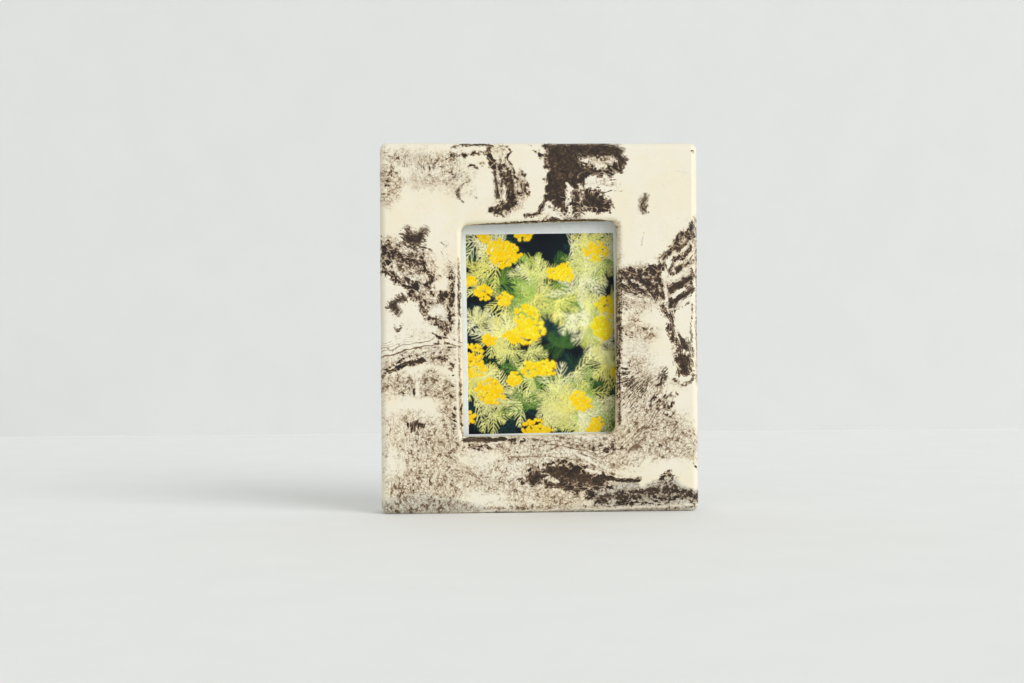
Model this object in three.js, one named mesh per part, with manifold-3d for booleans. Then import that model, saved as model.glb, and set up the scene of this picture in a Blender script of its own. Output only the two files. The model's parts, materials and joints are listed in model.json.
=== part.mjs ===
import * as THREE from 'three';
import { mergeVertices } from 'three/addons/utils/BufferGeometryUtils.js';
import Module from 'manifold-3d';

// Ceramic slab, in millimetres. The face looks along -Y and the slab stands on its foot at z = 0.
const frameWidth = 98;
const frameHeight = 114;
const frameDepth = 11.5;
const outerEdgeRadius = 2.0;
const cornerSoftness = 0.3; // plan corners are rounder than the edges by this much

// Hand-cut window, measured at its narrowest. Nothing in it is quite square.
const windowWidth = 47.65; // at half height
const windowHeight = 65.6; // at its middle
const windowDrop = 0.4; // its centre below the slab's
const windowTaper = 1.25; // head wider than foot
const windowLean = 0.3; // head to the right of the foot
const windowHeadSlopeDeg = 1.5; // right end up
const windowFootSlopeDeg = 0.95;
const windowHeadLeftRadius = 2.2;
const windowHeadRightRadius = 2.6;
const windowFootLeftRadius = 1.0;
const windowFootRightRadius = 2.6;
const windowEdgeRadius = 1.6;

// Mini instant-film print, its wide border up
const printWidth = 54;
const printHeight = 86;
const printThickness = 0.6;
const printCornerRadius = 0.8;
const printTurnDeg = 0.6;
const printShift = 0.68; // toward +X
const printPlay = 1.5; // rebate beyond the print, each side

// Rebate and the sheets stacked in it
const rebateRise = 4.2; // rebate centre above the slab's
const rebateCornerRadius = 2.5;
const rebateEdgeRadius = 0.8;
const fillerThickness = 1.5;
const boardThickness = 2.5;
const sheetCornerRadius = 2.2;
const thumbNotchRadius = 9;
const thumbNotchDepth = 7;

// Turn buttons, their screws and inserts
const buttonInset = 6; // pivot beyond the rebate's side
const buttonSpread = 52; // between upper and lower pivots
const buttonThickness = 1.0;
const buttonHubRadius = 4.2;
const buttonTipRadius = 2.4;
const buttonReach = 10; // pivot to the tip's centre
const buttonTipRise = 1.6; // how far the finger tip turns up
const buttonTipRun = 2.4; // along the arm
const screwShankRadius = 1.2;
const screwHeadRadius = 2.6;
const screwHeadHeight = 1.6;
const screwSlotWidth = 0.7;
const screwSlotDepth = 0.8;
const screwSlotTurnDeg = 35; // from each screw to the next
const screwReach = 4.2; // shank below the slab's back
const screwCrownShare = 0.62; // flat top, of the head's radius
const screwBandShare = 0.35; // straight side, of the head's height
const screwTipShare = 0.6; // flat tip, of the shank's radius
const insertWall = 0.75;
const insertLength = 5;
const insertGrooveDepth = 0.3;
const insertGrooveWidth = 0.9;

// Rear bumpers
const bumperRadius = 4.75;
const bumperFaceRadius = 3.2;
const bumperHeight = 3.8;
const bumperInset = 9; // centre from the slab's sides
const bumperBandShare = 0.25; // straight side, of the height
const bumperShoulderShare = 0.95; // where the dome turns, of the radius
const bumperShoulderDrop = 0.1; // and below the face, of the height

// Clearances
const seatGap = 0.3; // between sheets, and from each to its seat
const sheetPlay = 0.4; // filler and board to the rebate's sides
const threadGap = 0.3;
const pivotGap = 0.25;
const glueLine = 0.1;

// Facets
const bevelSteps = 5;
const arcSteps = 6;
const buttonArcSteps = 14;
const boreFacets = 28;
const screwFacets = 32;
const screwDomeSteps = 5;
const bumperFacets = 36;
const bumperDomeSteps = 7;
const notchFacets = 40;
const mergeTolerance = 1e-4;

const overallDepth = frameDepth + glueLine + bumperHeight;
const yFront = -overallDepth / 2;
const yBack = yFront + frameDepth;
const rebateDepth = printThickness + fillerThickness + boardThickness + 4 * seatGap;
const ySeat = yBack - rebateDepth;
const slabZ = frameHeight / 2;
const rebateZ = slabZ + rebateRise;
const rebateWidth = printWidth + 2 * printPlay;
const rebateHeight = printHeight + 2 * printPlay;
const sheetWidth = rebateWidth - 2 * sheetPlay;
const sheetHeight = rebateHeight - 2 * sheetPlay;
const pivotX = rebateWidth / 2 + buttonInset;
const insertBore = screwShankRadius + threadGap;
const insertRadius = insertBore + insertWall;
const socketRadius = insertRadius + glueLine;
const socketDepth = insertLength + 2 * glueLine;

const wasm = await Module();
wasm.setup();

function toManifold(geometry) {
  const bare = geometry.clone();
  bare.deleteAttribute('normal');
  bare.deleteAttribute('uv');
  const merged = mergeVertices(bare, mergeTolerance);
  return new wasm.Manifold(new wasm.Mesh({
    numProp: 3,
    vertProperties: new Float32Array(merged.attributes.position.array),
    triVerts: new Uint32Array(merged.index.array),
  }));
}

function toGeometry(manifold) {
  const mesh = manifold.getMesh();
  const geometry = new THREE.BufferGeometry();
  geometry.setAttribute('position', new THREE.BufferAttribute(new Float32Array(mesh.vertProperties), 3));
  geometry.setIndex(new THREE.BufferAttribute(new Uint32Array(mesh.triVerts), 1));
  geometry.computeVertexNormals();
  return geometry;
}

// A closed outline through counter-clockwise corners, rounded by one radius or by one for each
function roundedOutline(target, corners, radii) {
  const count = corners.length;
  corners.forEach((corner, i) => {
    const radius = Array.isArray(radii) ? radii[i] : radii;
    const before = corners[(i + count - 1) % count].clone().sub(corner).normalize();
    const after = corners[(i + 1) % count].clone().sub(corner).normalize();
    const half = Math.acos(before.dot(after)) / 2;
    const centre = before.clone().add(after).setLength(radius / Math.sin(half)).add(corner);
    const from = before.setLength(radius / Math.tan(half)).add(corner).sub(centre).angle();
    const to = after.setLength(radius / Math.tan(half)).add(corner).sub(centre).angle();
    target.absarc(centre.x, centre.y, radius, from, to, false);
  });
  target.closePath();
  return target;
}

function rectangleCorners(width, height, centreX, centreZ) {
  return [[-1, -1], [1, -1], [1, 1], [-1, 1]].map(
    ([sx, sz]) => new THREE.Vector2(centreX + sx * width / 2, centreZ + sz * height / 2),
  );
}

function windowCorners() {
  const corner = (across, up) => {
    const slopeDeg = up > 0 ? windowHeadSlopeDeg : windowFootSlopeDeg;
    const width = windowWidth + up * windowTaper / 2;
    const x = (up * windowLean + across * width) / 2;
    const rise = x * Math.tan(THREE.MathUtils.degToRad(slopeDeg));
    return new THREE.Vector2(x, slabZ - windowDrop + up * windowHeight / 2 + rise);
  };
  return [corner(-1, -1), corner(1, -1), corner(1, 1), corner(-1, 1)];
}

// Extrudes an XZ outline from front to back along Y, its rims rounded by rim where that is given
function sheet(shape, front, back, rim = 0, curveSegments = arcSteps) {
  const geometry = new THREE.ExtrudeGeometry(shape, {
    depth: back - front - 2 * rim,
    bevelEnabled: rim > 0,
    bevelThickness: rim,
    bevelSize: rim,
    bevelOffset: -rim,
    bevelSegments: bevelSteps,
    curveSegments,
  });
  return geometry.rotateX(Math.PI / 2).translate(0, back - rim, 0);
}

// A lathe about Y, its profile given as [radius, y] pairs
function turned(profile, segments) {
  const points = profile.map(([radius, y]) => new THREE.Vector2(radius, y));
  return new THREE.LatheGeometry(points, segments);
}

// An oversize plate with one opening whose rims are softened
function platePierced(corners, radii, front, back, rim) {
  const margin = 4 * outerEdgeRadius;
  const plate = new THREE.Shape();
  roundedOutline(
    plate,
    rectangleCorners(frameWidth + 2 * margin, frameHeight + 2 * margin, 0, slabZ),
    margin,
  );
  plate.holes.push(roundedOutline(new THREE.Path(), corners, radii));
  return toManifold(sheet(plate, front, back, rim));
}

function ceramicFrame() {
  const outline = roundedOutline(
    new THREE.Shape(),
    rectangleCorners(frameWidth, frameHeight, 0, slabZ),
    outerEdgeRadius + cornerSoftness,
  );
  const slab = toManifold(sheet(outline, yFront, yBack, outerEdgeRadius));
  const radii = [
    windowFootLeftRadius,
    windowFootRightRadius,
    windowHeadRightRadius,
    windowHeadLeftRadius,
  ];
  const lip = platePierced(windowCorners(), radii, yFront, ySeat, windowEdgeRadius);
  const rail = platePierced(
    rectangleCorners(rebateWidth, rebateHeight, 0, rebateZ),
    rebateCornerRadius,
    ySeat - 2 * rebateEdgeRadius,
    yBack,
    rebateEdgeRadius,
  );
  let body = slab.intersect(lip.add(rail));
  for (const { x, z } of pivots) {
    const socket = new THREE.CylinderGeometry(socketRadius, socketRadius, 2 * socketDepth, boreFacets);
    body = body.subtract(toManifold(socket.translate(x, yBack, z)));
  }
  return toGeometry(body);
}

function plainSheet(width, height, front, back, centreZ, cornerRadius) {
  const outline = roundedOutline(
    new THREE.Shape(),
    rectangleCorners(width, height, 0, centreZ),
    cornerRadius,
  );
  return sheet(outline, front, back);
}

function instantPrint(front) {
  const turn = THREE.MathUtils.degToRad(printTurnDeg);
  const halfRise = (printHeight * Math.cos(turn) + printWidth * Math.sin(turn)) / 2;
  const restZ = rebateZ - rebateHeight / 2 + seatGap + halfRise;
  const card = plainSheet(printWidth, printHeight, front, front + printThickness, 0, printCornerRadius);
  return card.rotateY(-turn).translate(printShift, 0, restZ);
}

function backingBoard(front) {
  const board = plainSheet(
    sheetWidth,
    sheetHeight,
    front,
    front + boardThickness,
    rebateZ,
    sheetCornerRadius,
  );
  const through = 4 * boardThickness;
  const notch = new THREE.CylinderGeometry(thumbNotchRadius, thumbNotchRadius, through, notchFacets);
  notch.translate(0, front, rebateZ + sheetHeight / 2 + thumbNotchRadius - thumbNotchDepth);
  return toGeometry(toManifold(board).subtract(toManifold(notch)));
}

function socketInsert({ x, z }) {
  const top = yBack - glueLine;
  const foot = top - insertLength;
  const mid = (top + foot) / 2;
  const waist = insertRadius - insertGrooveDepth;
  const profile = [
    [insertBore, foot],
    [insertRadius, foot],
    [insertRadius, mid - insertGrooveWidth / 2],
    [waist, mid - insertGrooveWidth / 2],
    [waist, mid + insertGrooveWidth / 2],
    [insertRadius, mid + insertGrooveWidth / 2],
    [insertRadius, top],
    [insertBore, top],
    [insertBore, foot],
  ];
  return turned(profile, boreFacets).translate(x, 0, z);
}

function pivotScrew({ x, z, order }) {
  const under = yBack + 2 * seatGap + buttonThickness;
  const crown = under + screwHeadHeight;
  const shoulder = screwHeadRadius * screwCrownShare;
  const tip = yBack - screwReach;
  const dome = new THREE.QuadraticBezierCurve(
    new THREE.Vector2(screwHeadRadius, under + screwHeadHeight * screwBandShare),
    new THREE.Vector2(screwHeadRadius, crown),
    new THREE.Vector2(shoulder, crown),
  );
  const profile = [
    [0, tip],
    [screwShankRadius * screwTipShare, tip],
    [screwShankRadius, tip + screwShankRadius * (1 - screwTipShare)],
    [screwShankRadius, under],
    [screwHeadRadius, under],
    ...dome.getPoints(screwDomeSteps).map((point) => [point.x, point.y]),
    [0, crown],
  ];
  const slot = new THREE.BoxGeometry(4 * screwHeadRadius, 2 * screwSlotDepth, screwSlotWidth);
  slot.rotateY(THREE.MathUtils.degToRad(order * screwSlotTurnDeg)).translate(0, crown, 0);
  const screw = toManifold(turned(profile, screwFacets)).subtract(toManifold(slot));
  return toGeometry(screw).translate(x, 0, z);
}

// The arm points along +X from its pivot, and its finger tip turns up toward +Y
function turnButton({ x, z, inward }) {
  const front = yBack + seatGap;
  const tipEnd = buttonReach + buttonTipRadius;
  const lean = Math.asin((buttonHubRadius - buttonTipRadius) / buttonReach);
  const outline = new THREE.Shape();
  outline.absarc(0, 0, buttonHubRadius, Math.PI / 2 - lean, 1.5 * Math.PI + lean, false);
  outline.absarc(buttonReach, 0, buttonTipRadius, lean - Math.PI / 2, Math.PI / 2 - lean, false);
  outline.closePath();
  const hole = new THREE.Path();
  hole.absarc(0, 0, screwShankRadius + pivotGap, 0, 2 * Math.PI, true);
  outline.holes.push(hole);
  const plan = sheet(outline, front, front + buttonThickness + buttonTipRise, 0, buttonArcSteps);

  const bend = tipEnd - buttonTipRun;
  const side = new THREE.Shape();
  side.moveTo(-2 * buttonHubRadius, front);
  side.lineTo(bend, front);
  side.quadraticCurveTo(bend + buttonTipRun / 2, front, tipEnd, front + buttonTipRise);
  side.lineTo(tipEnd + buttonThickness, front + buttonTipRise);
  side.lineTo(tipEnd + buttonThickness, front + buttonThickness + buttonTipRise);
  side.lineTo(tipEnd - buttonThickness / 2, front + buttonThickness + buttonTipRise);
  side.quadraticCurveTo(
    bend + buttonTipRun / 4,
    front + buttonThickness,
    bend - buttonThickness / 2,
    front + buttonThickness,
  );
  side.lineTo(-2 * buttonHubRadius, front + buttonThickness);
  side.closePath();
  const strip = new THREE.ExtrudeGeometry(side, {
    depth: 4 * buttonHubRadius,
    bevelEnabled: false,
    curveSegments: arcSteps,
  });
  strip.translate(0, 0, -2 * buttonHubRadius);

  const button = toGeometry(toManifold(plan).intersect(toManifold(strip)));
  return button.rotateY(inward > 0 ? 0 : Math.PI).translate(x, 0, z);
}

function rearBumper({ x, z }) {
  const seat = yBack + glueLine;
  const face = seat + bumperHeight;
  const dome = new THREE.QuadraticBezierCurve(
    new THREE.Vector2(bumperRadius, seat + bumperHeight * bumperBandShare),
    new THREE.Vector2(bumperRadius * bumperShoulderShare, face - bumperHeight * bumperShoulderDrop),
    new THREE.Vector2(bumperFaceRadius, face),
  );
  const profile = [
    [0, seat],
    [bumperRadius, seat],
    ...dome.getPoints(bumperDomeSteps).map((point) => [point.x, point.y]),
    [0, face],
  ];
  return turned(profile, bumperFacets).translate(x, 0, z);
}

const sides = [
  { name: 'left', sign: -1 },
  { name: 'right', sign: 1 },
];
const levels = [
  { name: 'upper', sign: 1 },
  { name: 'lower', sign: -1 },
];
const corners = levels.flatMap((level) => sides.map((side) => ({
  name: `${level.name}_${side.name}`,
  across: side.sign,
  up: level.sign,
})));
const pivots = corners.map(({ name, across, up }, i) => ({
  name,
  order: i + 1,
  x: across * pivotX,
  z: rebateZ + up * buttonSpread / 2,
  inward: -across,
}));
const bumperSpots = corners.map(({ name, across, up }) => ({
  name,
  x: across * (frameWidth / 2 - bumperInset),
  z: slabZ + up * (frameHeight / 2 - bumperInset),
}));

const clay = new THREE.MeshStandardMaterial({ color: 0xd8cdb8, roughness: 0.45, metalness: 0 });
const printCard = new THREE.MeshStandardMaterial({ color: 0xe6e4da, roughness: 0.35, metalness: 0 });
const greyCard = new THREE.MeshStandardMaterial({ color: 0xb3a58c, roughness: 0.9, metalness: 0 });
const hardboard = new THREE.MeshStandardMaterial({ color: 0x7a5a3c, roughness: 0.8, metalness: 0 });
const brass = new THREE.MeshStandardMaterial({ color: 0xb08d46, roughness: 0.35, metalness: 1 });
const clearRubber = new THREE.MeshStandardMaterial({ color: 0xd9dcd8, roughness: 0.4, metalness: 0 });

const frame = new THREE.Group();
frame.name = 'photo_frame';

function addNode(name, geometry, material) {
  const node = new THREE.Mesh(geometry, material);
  node.name = name;
  frame.add(node);
}

const printFront = ySeat + seatGap;
const fillerFront = printFront + printThickness + seatGap;
const boardFront = fillerFront + fillerThickness + seatGap;

addNode('ceramic_frame', ceramicFrame(), clay);
addNode('instant_print', instantPrint(printFront), printCard);
addNode(
  'filler_card',
  plainSheet(sheetWidth, sheetHeight, fillerFront, fillerFront + fillerThickness, rebateZ, sheetCornerRadius),
  greyCard,
);
addNode('backing_board', backingBoard(boardFront), hardboard);
for (const pivot of pivots) {
  addNode(`socket_insert_${pivot.name}`, socketInsert(pivot), brass);
  addNode(`pivot_screw_${pivot.name}`, pivotScrew(pivot), brass);
  addNode(`turn_button_${pivot.name}`, turnButton(pivot), brass);
}
for (const spot of bumperSpots) {
  addNode(`rear_bumper_${spot.name}`, rearBumper(spot), clearRubber);
}

export default frame;
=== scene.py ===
import bpy
import bmesh
import json
import math
import random
import numpy as np
from mathutils import Matrix, Vector, noise


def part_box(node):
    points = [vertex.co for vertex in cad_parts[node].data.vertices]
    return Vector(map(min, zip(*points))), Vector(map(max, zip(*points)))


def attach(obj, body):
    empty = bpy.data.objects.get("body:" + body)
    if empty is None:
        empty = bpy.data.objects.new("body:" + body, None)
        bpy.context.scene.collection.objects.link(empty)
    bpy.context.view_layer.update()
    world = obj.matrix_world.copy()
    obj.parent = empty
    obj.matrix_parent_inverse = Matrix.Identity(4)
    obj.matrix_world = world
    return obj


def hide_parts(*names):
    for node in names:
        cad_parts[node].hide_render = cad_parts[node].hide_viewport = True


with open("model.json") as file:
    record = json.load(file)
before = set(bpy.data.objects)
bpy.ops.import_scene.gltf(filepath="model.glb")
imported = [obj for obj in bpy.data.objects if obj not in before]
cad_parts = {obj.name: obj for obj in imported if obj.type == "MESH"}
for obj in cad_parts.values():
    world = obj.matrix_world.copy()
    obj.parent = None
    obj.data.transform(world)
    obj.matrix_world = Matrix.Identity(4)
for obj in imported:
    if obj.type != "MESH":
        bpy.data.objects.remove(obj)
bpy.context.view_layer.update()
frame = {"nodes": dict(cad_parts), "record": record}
mm = 0.001
fourCorners = ("upper_left", "upper_right", "lower_left", "lower_right")
quadrants = ((-1, -1), (1, -1), (1, 1), (-1, 1))  # from the foot's left, counter-clockwise
creaseAngle = 40.0


def boxOf(name):
    return [np.array(corner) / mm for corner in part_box(name)]


slabLow, slabHigh = boxOf("ceramic_frame")
faceY = slabLow[1]
backY = slabHigh[1]
middle = Vector((0, faceY, slabHigh[2] / 2)) * mm
print("frame loaded:", len(frame["nodes"]), "nodes")


# shader kit: a wire is a socket that takes part in sums
class Wire:
    def __init__(self, recipe, socket):
        self.recipe = recipe
        self.socket = socket

    def __add__(self, other):
        return self.recipe.sum("ADD", self, other)

    def __radd__(self, other):
        return self.recipe.sum("ADD", other, self)

    def __sub__(self, other):
        return self.recipe.sum("SUBTRACT", self, other)

    def __rsub__(self, other):
        return self.recipe.sum("SUBTRACT", other, self)

    def __mul__(self, other):
        return self.recipe.sum("MULTIPLY", self, other)

    def __rmul__(self, other):
        return self.recipe.sum("MULTIPLY", other, self)


class Recipe:
    def __init__(self, name, world=None):
        self.owner = world or bpy.data.materials.new(name)
        self.owner.use_nodes = True
        self.tree = self.owner.node_tree
        self.tree.nodes.clear()

    def add(self, kind, settings=None, inputs=None, output=0):
        node = self.tree.nodes.new(kind)
        for key, value in (settings or {}).items():
            if key == "stops":
                for i, (place, tone) in enumerate(value):
                    stops = node.color_ramp.elements
                    stop = stops[i] if i < len(stops) else stops.new(place)
                    stop.position = place
                    stop.color = tone
            else:
                setattr(node, key, value)
        for key, value in (inputs or {}).items():
            if isinstance(value, Wire):
                self.tree.links.new(value.socket, node.inputs[key])
            else:
                node.inputs[key].default_value = value
        return Wire(self, node.outputs[output])

    def sum(self, operation, first, second):
        return self.add("ShaderNodeMath", {"operation": operation}, {0: first, 1: second})

    def place(self):
        return self.add("ShaderNodeTexCoord", output="Object")

    def stretched(self, scale, turn=(0, 0, 0)):
        return self.add("ShaderNodeMapping", {}, {"Vector": self.place(), "Scale": scale, "Rotation": turn})

    def attribute(self, name, output="Fac"):
        return self.add("ShaderNodeAttribute", {"attribute_name": name}, {}, output)

    def noise(self, scale, detail=2.0, roughness=0.5, vector=None):
        wires = {"Vector": vector or self.place(), "Scale": scale, "Detail": detail, "Roughness": roughness}
        return self.add("ShaderNodeTexNoise", {}, wires)

    def rise(self, value, low, high, bottom=0.0, top=1.0):
        settings = {"interpolation_type": "SMOOTHSTEP"}
        wires = {"Value": value, "From Min": low, "From Max": high, "To Min": bottom, "To Max": top}
        return self.add("ShaderNodeMapRange", settings, wires)

    def blend(self, amount, first, second, kind="MIX"):
        settings = {"data_type": "RGBA", "blend_type": kind}
        return self.add("ShaderNodeMix", settings, {0: amount, 6: first, 7: second}, 2)

    def mottle(self, grain, first, second, low=0.3, high=0.7):
        return self.blend(self.rise(grain, low, high), first, second)

    def bump(self, height, strength, distance):
        wires = {"Height": height, "Strength": strength, "Distance": distance}
        return self.add("ShaderNodeBump", {}, wires)

    def close(self, kind, surface):
        ending = self.tree.nodes.new(kind)
        self.tree.links.new(surface.socket, ending.inputs["Surface"])
        return self.owner

    def finish(self, inputs):
        return self.close("ShaderNodeOutputMaterial", self.add("ShaderNodeBsdfPrincipled", {}, inputs))


def colour(red, green, blue):
    parts = [c / 255 for c in (red, green, blue)]
    return (*[c / 12.92 if c <= 0.04045 else ((c + 0.055) / 1.055) ** 2.4 for c in parts], 1.0)


def looseMesh(name, bm):
    mesh = bpy.data.meshes.new(name)
    bm.to_mesh(mesh)
    bm.free()
    piece = bpy.data.objects.new(name, mesh)
    bpy.context.collection.objects.link(piece)
    return piece


def makePiece(name, bm, materials, body, node):
    piece = looseMesh(name, bm)
    for material in materials:
        piece.data.materials.append(material)
    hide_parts(node)
    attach(piece, body)
    return piece


def smoothByAngle(bm, degrees=creaseAngle):
    for face in bm.faces:
        face.smooth = True
    for edge in bm.edges:
        edge.smooth = not edge.is_manifold or edge.calc_face_angle() < math.radians(degrees)


def vertsOf(geometry):
    return [part for part in geometry if isinstance(part, bmesh.types.BMVert)]


def gridPlace(vert, columns, rows):  # where a vertex of a flat unit grid stands in it
    return round((vert.co.x + 1) / 2 * columns), round((vert.co.y + 1) / 2 * rows)


def carve(piece, cutter, place=None):
    cut = piece.modifiers.new("cut", "BOOLEAN")
    cut.solver = "EXACT"
    cut.object = cutter
    shaped = piece.evaluated_get(bpy.context.evaluated_depsgraph_get())
    piece.data = bpy.data.meshes.new_from_object(shaped)
    piece.modifiers.remove(cut)
    bpy.data.objects.remove(cutter)
    bm = bmesh.new()
    bm.from_mesh(piece.data)
    smoothByAngle(bm)
    if place:
        bmesh.ops.transform(bm, matrix=place, verts=bm.verts)
    bm.to_mesh(piece.data)
    bm.free()


# the marbled slab
slab = {
    "cornerRadius": 2.3,
    "edgeRadius": 2.0,
    "windowWidth": 47.65,
    "windowHeight": 65.6,
    "windowDrop": 0.4,
    "windowTaper": 1.25,
    "windowLean": 0.3,
    "windowHeadSlope": 1.5,
    "windowFootSlope": 0.95,
    "windowCorners": (1.0, 2.6, 2.6, 2.2),  # radii, in the order of the quadrants
    "windowEdge": 1.6,
    "rebateWidth": 57.0,
    "rebateHeight": 89.0,
    "rebateCentre": 61.2,
    "rebateCorner": 2.5,
    "rebateEdge": 0.8,
    "rebateDepth": 5.8,
    "socketRadius": 2.35,
    "socketDepth": 5.2,
    "socketSides": 48,
    "weld": 0.0001,
    "lump": 0.16,  # how far the hand-rolled face wanders
    "lumpSize": 17.0,
    "dimple": 0.05,
    "dimpleSize": 4.5,
}
slabSteps = {
    "across": 150,
    "up": 190,
    "corner": 10,
    "faceEdge": 7,
    "face": 72,
    "lip": 6,
    "reveal": 3,
    "lipBack": 4,
    "seat": 4,
    "rebate": 4,
    "rebateEdge": 3,
    "back": 8,
    "backEdge": 5,
    "side": 6,
}


def rectangle(width, height, centreZ):
    return [np.array((across * width / 2, centreZ + up * height / 2)) for across, up in quadrants]


def windowCorners():
    corners = []
    for across, up in quadrants:
        slope = slab["windowHeadSlope"] if up > 0 else slab["windowFootSlope"]
        width = slab["windowWidth"] + up * slab["windowTaper"] / 2
        x = (up * slab["windowLean"] + across * width) / 2
        z = slabHigh[2] / 2 - slab["windowDrop"] + up * slab["windowHeight"] / 2
        corners.append(np.array((x, z + x * math.tan(math.radians(slope)))))
    return corners


def roundedLoop(corners, radii, grow=0.0):
    turns = []
    for i, corner in enumerate(corners):
        radius = radii[i] + grow
        before = corners[i - 1] - corner
        after = corners[(i + 1) % 4] - corner
        before = before / np.linalg.norm(before)
        after = after / np.linalg.norm(after)
        half = math.acos(before @ after) / 2
        inward = (before + after) / np.linalg.norm(before + after)
        centre = corner + inward * (radius - grow) / math.sin(half)
        start = before * math.cos(half) * radius / math.sin(half) - inward * radius / math.sin(half)
        angle = math.atan2(start[1], start[0])
        sweep = math.pi - 2 * half
        steps = slabSteps["corner"]
        swing = [angle + sweep * k / steps for k in range(steps + 1)]
        turns.append([centre + radius * np.array((math.cos(a), math.sin(a))) for a in swing])
    points = []
    sideSteps = [slabSteps["across"], slabSteps["up"]] * 2
    for i, turn in enumerate(turns):
        points += turn[:-1]
        start, end = turn[-1], turns[(i + 1) % 4][0]
        points += [start + (end - start) * k / sideSteps[i] for k in range(sideSteps[i])]
    return np.array(points)


def slabPasses():
    outer = rectangle(slabHigh[0] - slabLow[0], slabHigh[2] - slabLow[2], slabHigh[2] / 2)
    window = windowCorners()
    rebate = rectangle(slab["rebateWidth"], slab["rebateHeight"], slab["rebateCentre"])
    r, e, b = slab["edgeRadius"], slab["windowEdge"], slab["rebateEdge"]
    seatY = backY - slab["rebateDepth"]
    ring = {
        "outer": lambda grow: roundedLoop(outer, [slab["cornerRadius"]] * 4, grow),
        "window": lambda grow: roundedLoop(window, slab["windowCorners"], grow),
        "rebate": lambda grow: roundedLoop(rebate, [slab["rebateCorner"]] * 4, grow),
    }
    passes = []

    def curve(name, steps, growAt, yAt):
        for k in range(slabSteps[steps]):
            a = math.pi / 2 * k / slabSteps[steps]
            c, s = math.cos(a), math.sin(a)
            passes.append((ring[name](growAt(c, s)), yAt(c, s)))

    def span(steps, first, last, start, stop):
        for k in range(slabSteps[steps]):
            share = k / slabSteps[steps]
            passes.append((first + (last - first) * share, start + (stop - start) * share))

    def flat(steps, first, last, y):
        span(steps, first, last, y, y)

    def wall(steps, loop, start, stop):
        span(steps, loop, loop, start, stop)

    curve("outer", "faceEdge", lambda c, s: -r * (1 - c), lambda c, s: faceY + r * (1 - s))
    flat("face", ring["outer"](-r), ring["window"](e), faceY)
    curve("window", "lip", lambda c, s: e * (1 - s), lambda c, s: faceY + e * (1 - c))
    wall("reveal", ring["window"](0), faceY + e, seatY - e)
    curve("window", "lipBack", lambda c, s: e * (1 - c), lambda c, s: seatY - e * (1 - s))
    flat("seat", ring["window"](e), ring["rebate"](0), seatY)
    wall("rebate", ring["rebate"](0), seatY, backY - b)
    curve("rebate", "rebateEdge", lambda c, s: b * (1 - c), lambda c, s: backY - b * (1 - s))
    flat("back", ring["rebate"](b), ring["outer"](-r), backY)
    curve("outer", "backEdge", lambda c, s: -r * (1 - s), lambda c, s: backY - r * (1 - c))
    wall("side", ring["outer"](0), backY - r, faceY + r)
    return passes


def buildSlab():
    passes = slabPasses()
    around = len(passes[0][0])
    along = len(passes)
    bm = bmesh.new()
    bmesh.ops.create_grid(bm, x_segments=around, y_segments=along, size=1)
    for vert in bm.verts:  # the flat grid is wrapped round the window and round the rail
        i, j = gridPlace(vert, around, along)
        loop, y = passes[j % along]
        x, z = loop[i % around]
        vert.co = Vector((x, y, z)) * mm
    bmesh.ops.remove_doubles(bm, verts=bm.verts, dist=slab["weld"] * mm)
    bmesh.ops.recalc_face_normals(bm, faces=bm.faces)
    bm.normal_update()
    for vert in bm.verts:
        p = vert.co / mm
        lift = slab["lump"] * noise.noise(p / slab["lumpSize"])
        lift += slab["dimple"] * noise.noise(p / slab["dimpleSize"])
        vert.co += vert.normal * lift * mm
        vert.co.z = max(vert.co.z, 0)
    for face in bm.faces:
        face.smooth = True
    return bm


def socketDrill():
    bm = bmesh.new()
    radius = slab["socketRadius"] * mm
    deep = 2 * slab["socketDepth"] * mm
    for joint in frame["record"]["behaviour"]["joints"]:
        across, _, up = joint["pos_m"]
        place = Matrix.Translation((across, backY * mm, up)) @ Matrix.Rotation(math.pi / 2, 4, "X")
        bmesh.ops.create_cone(bm, cap_ends=True, segments=slab["socketSides"], radius1=radius, radius2=radius,
                              depth=deep, matrix=place)
    return looseMesh("drill", bm)


# where each clay lies on the face, in picture steps: columns to the right, rows down
faceGrid = {"step": 0.3095, "column": 539.0, "row": 512.0}

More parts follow.
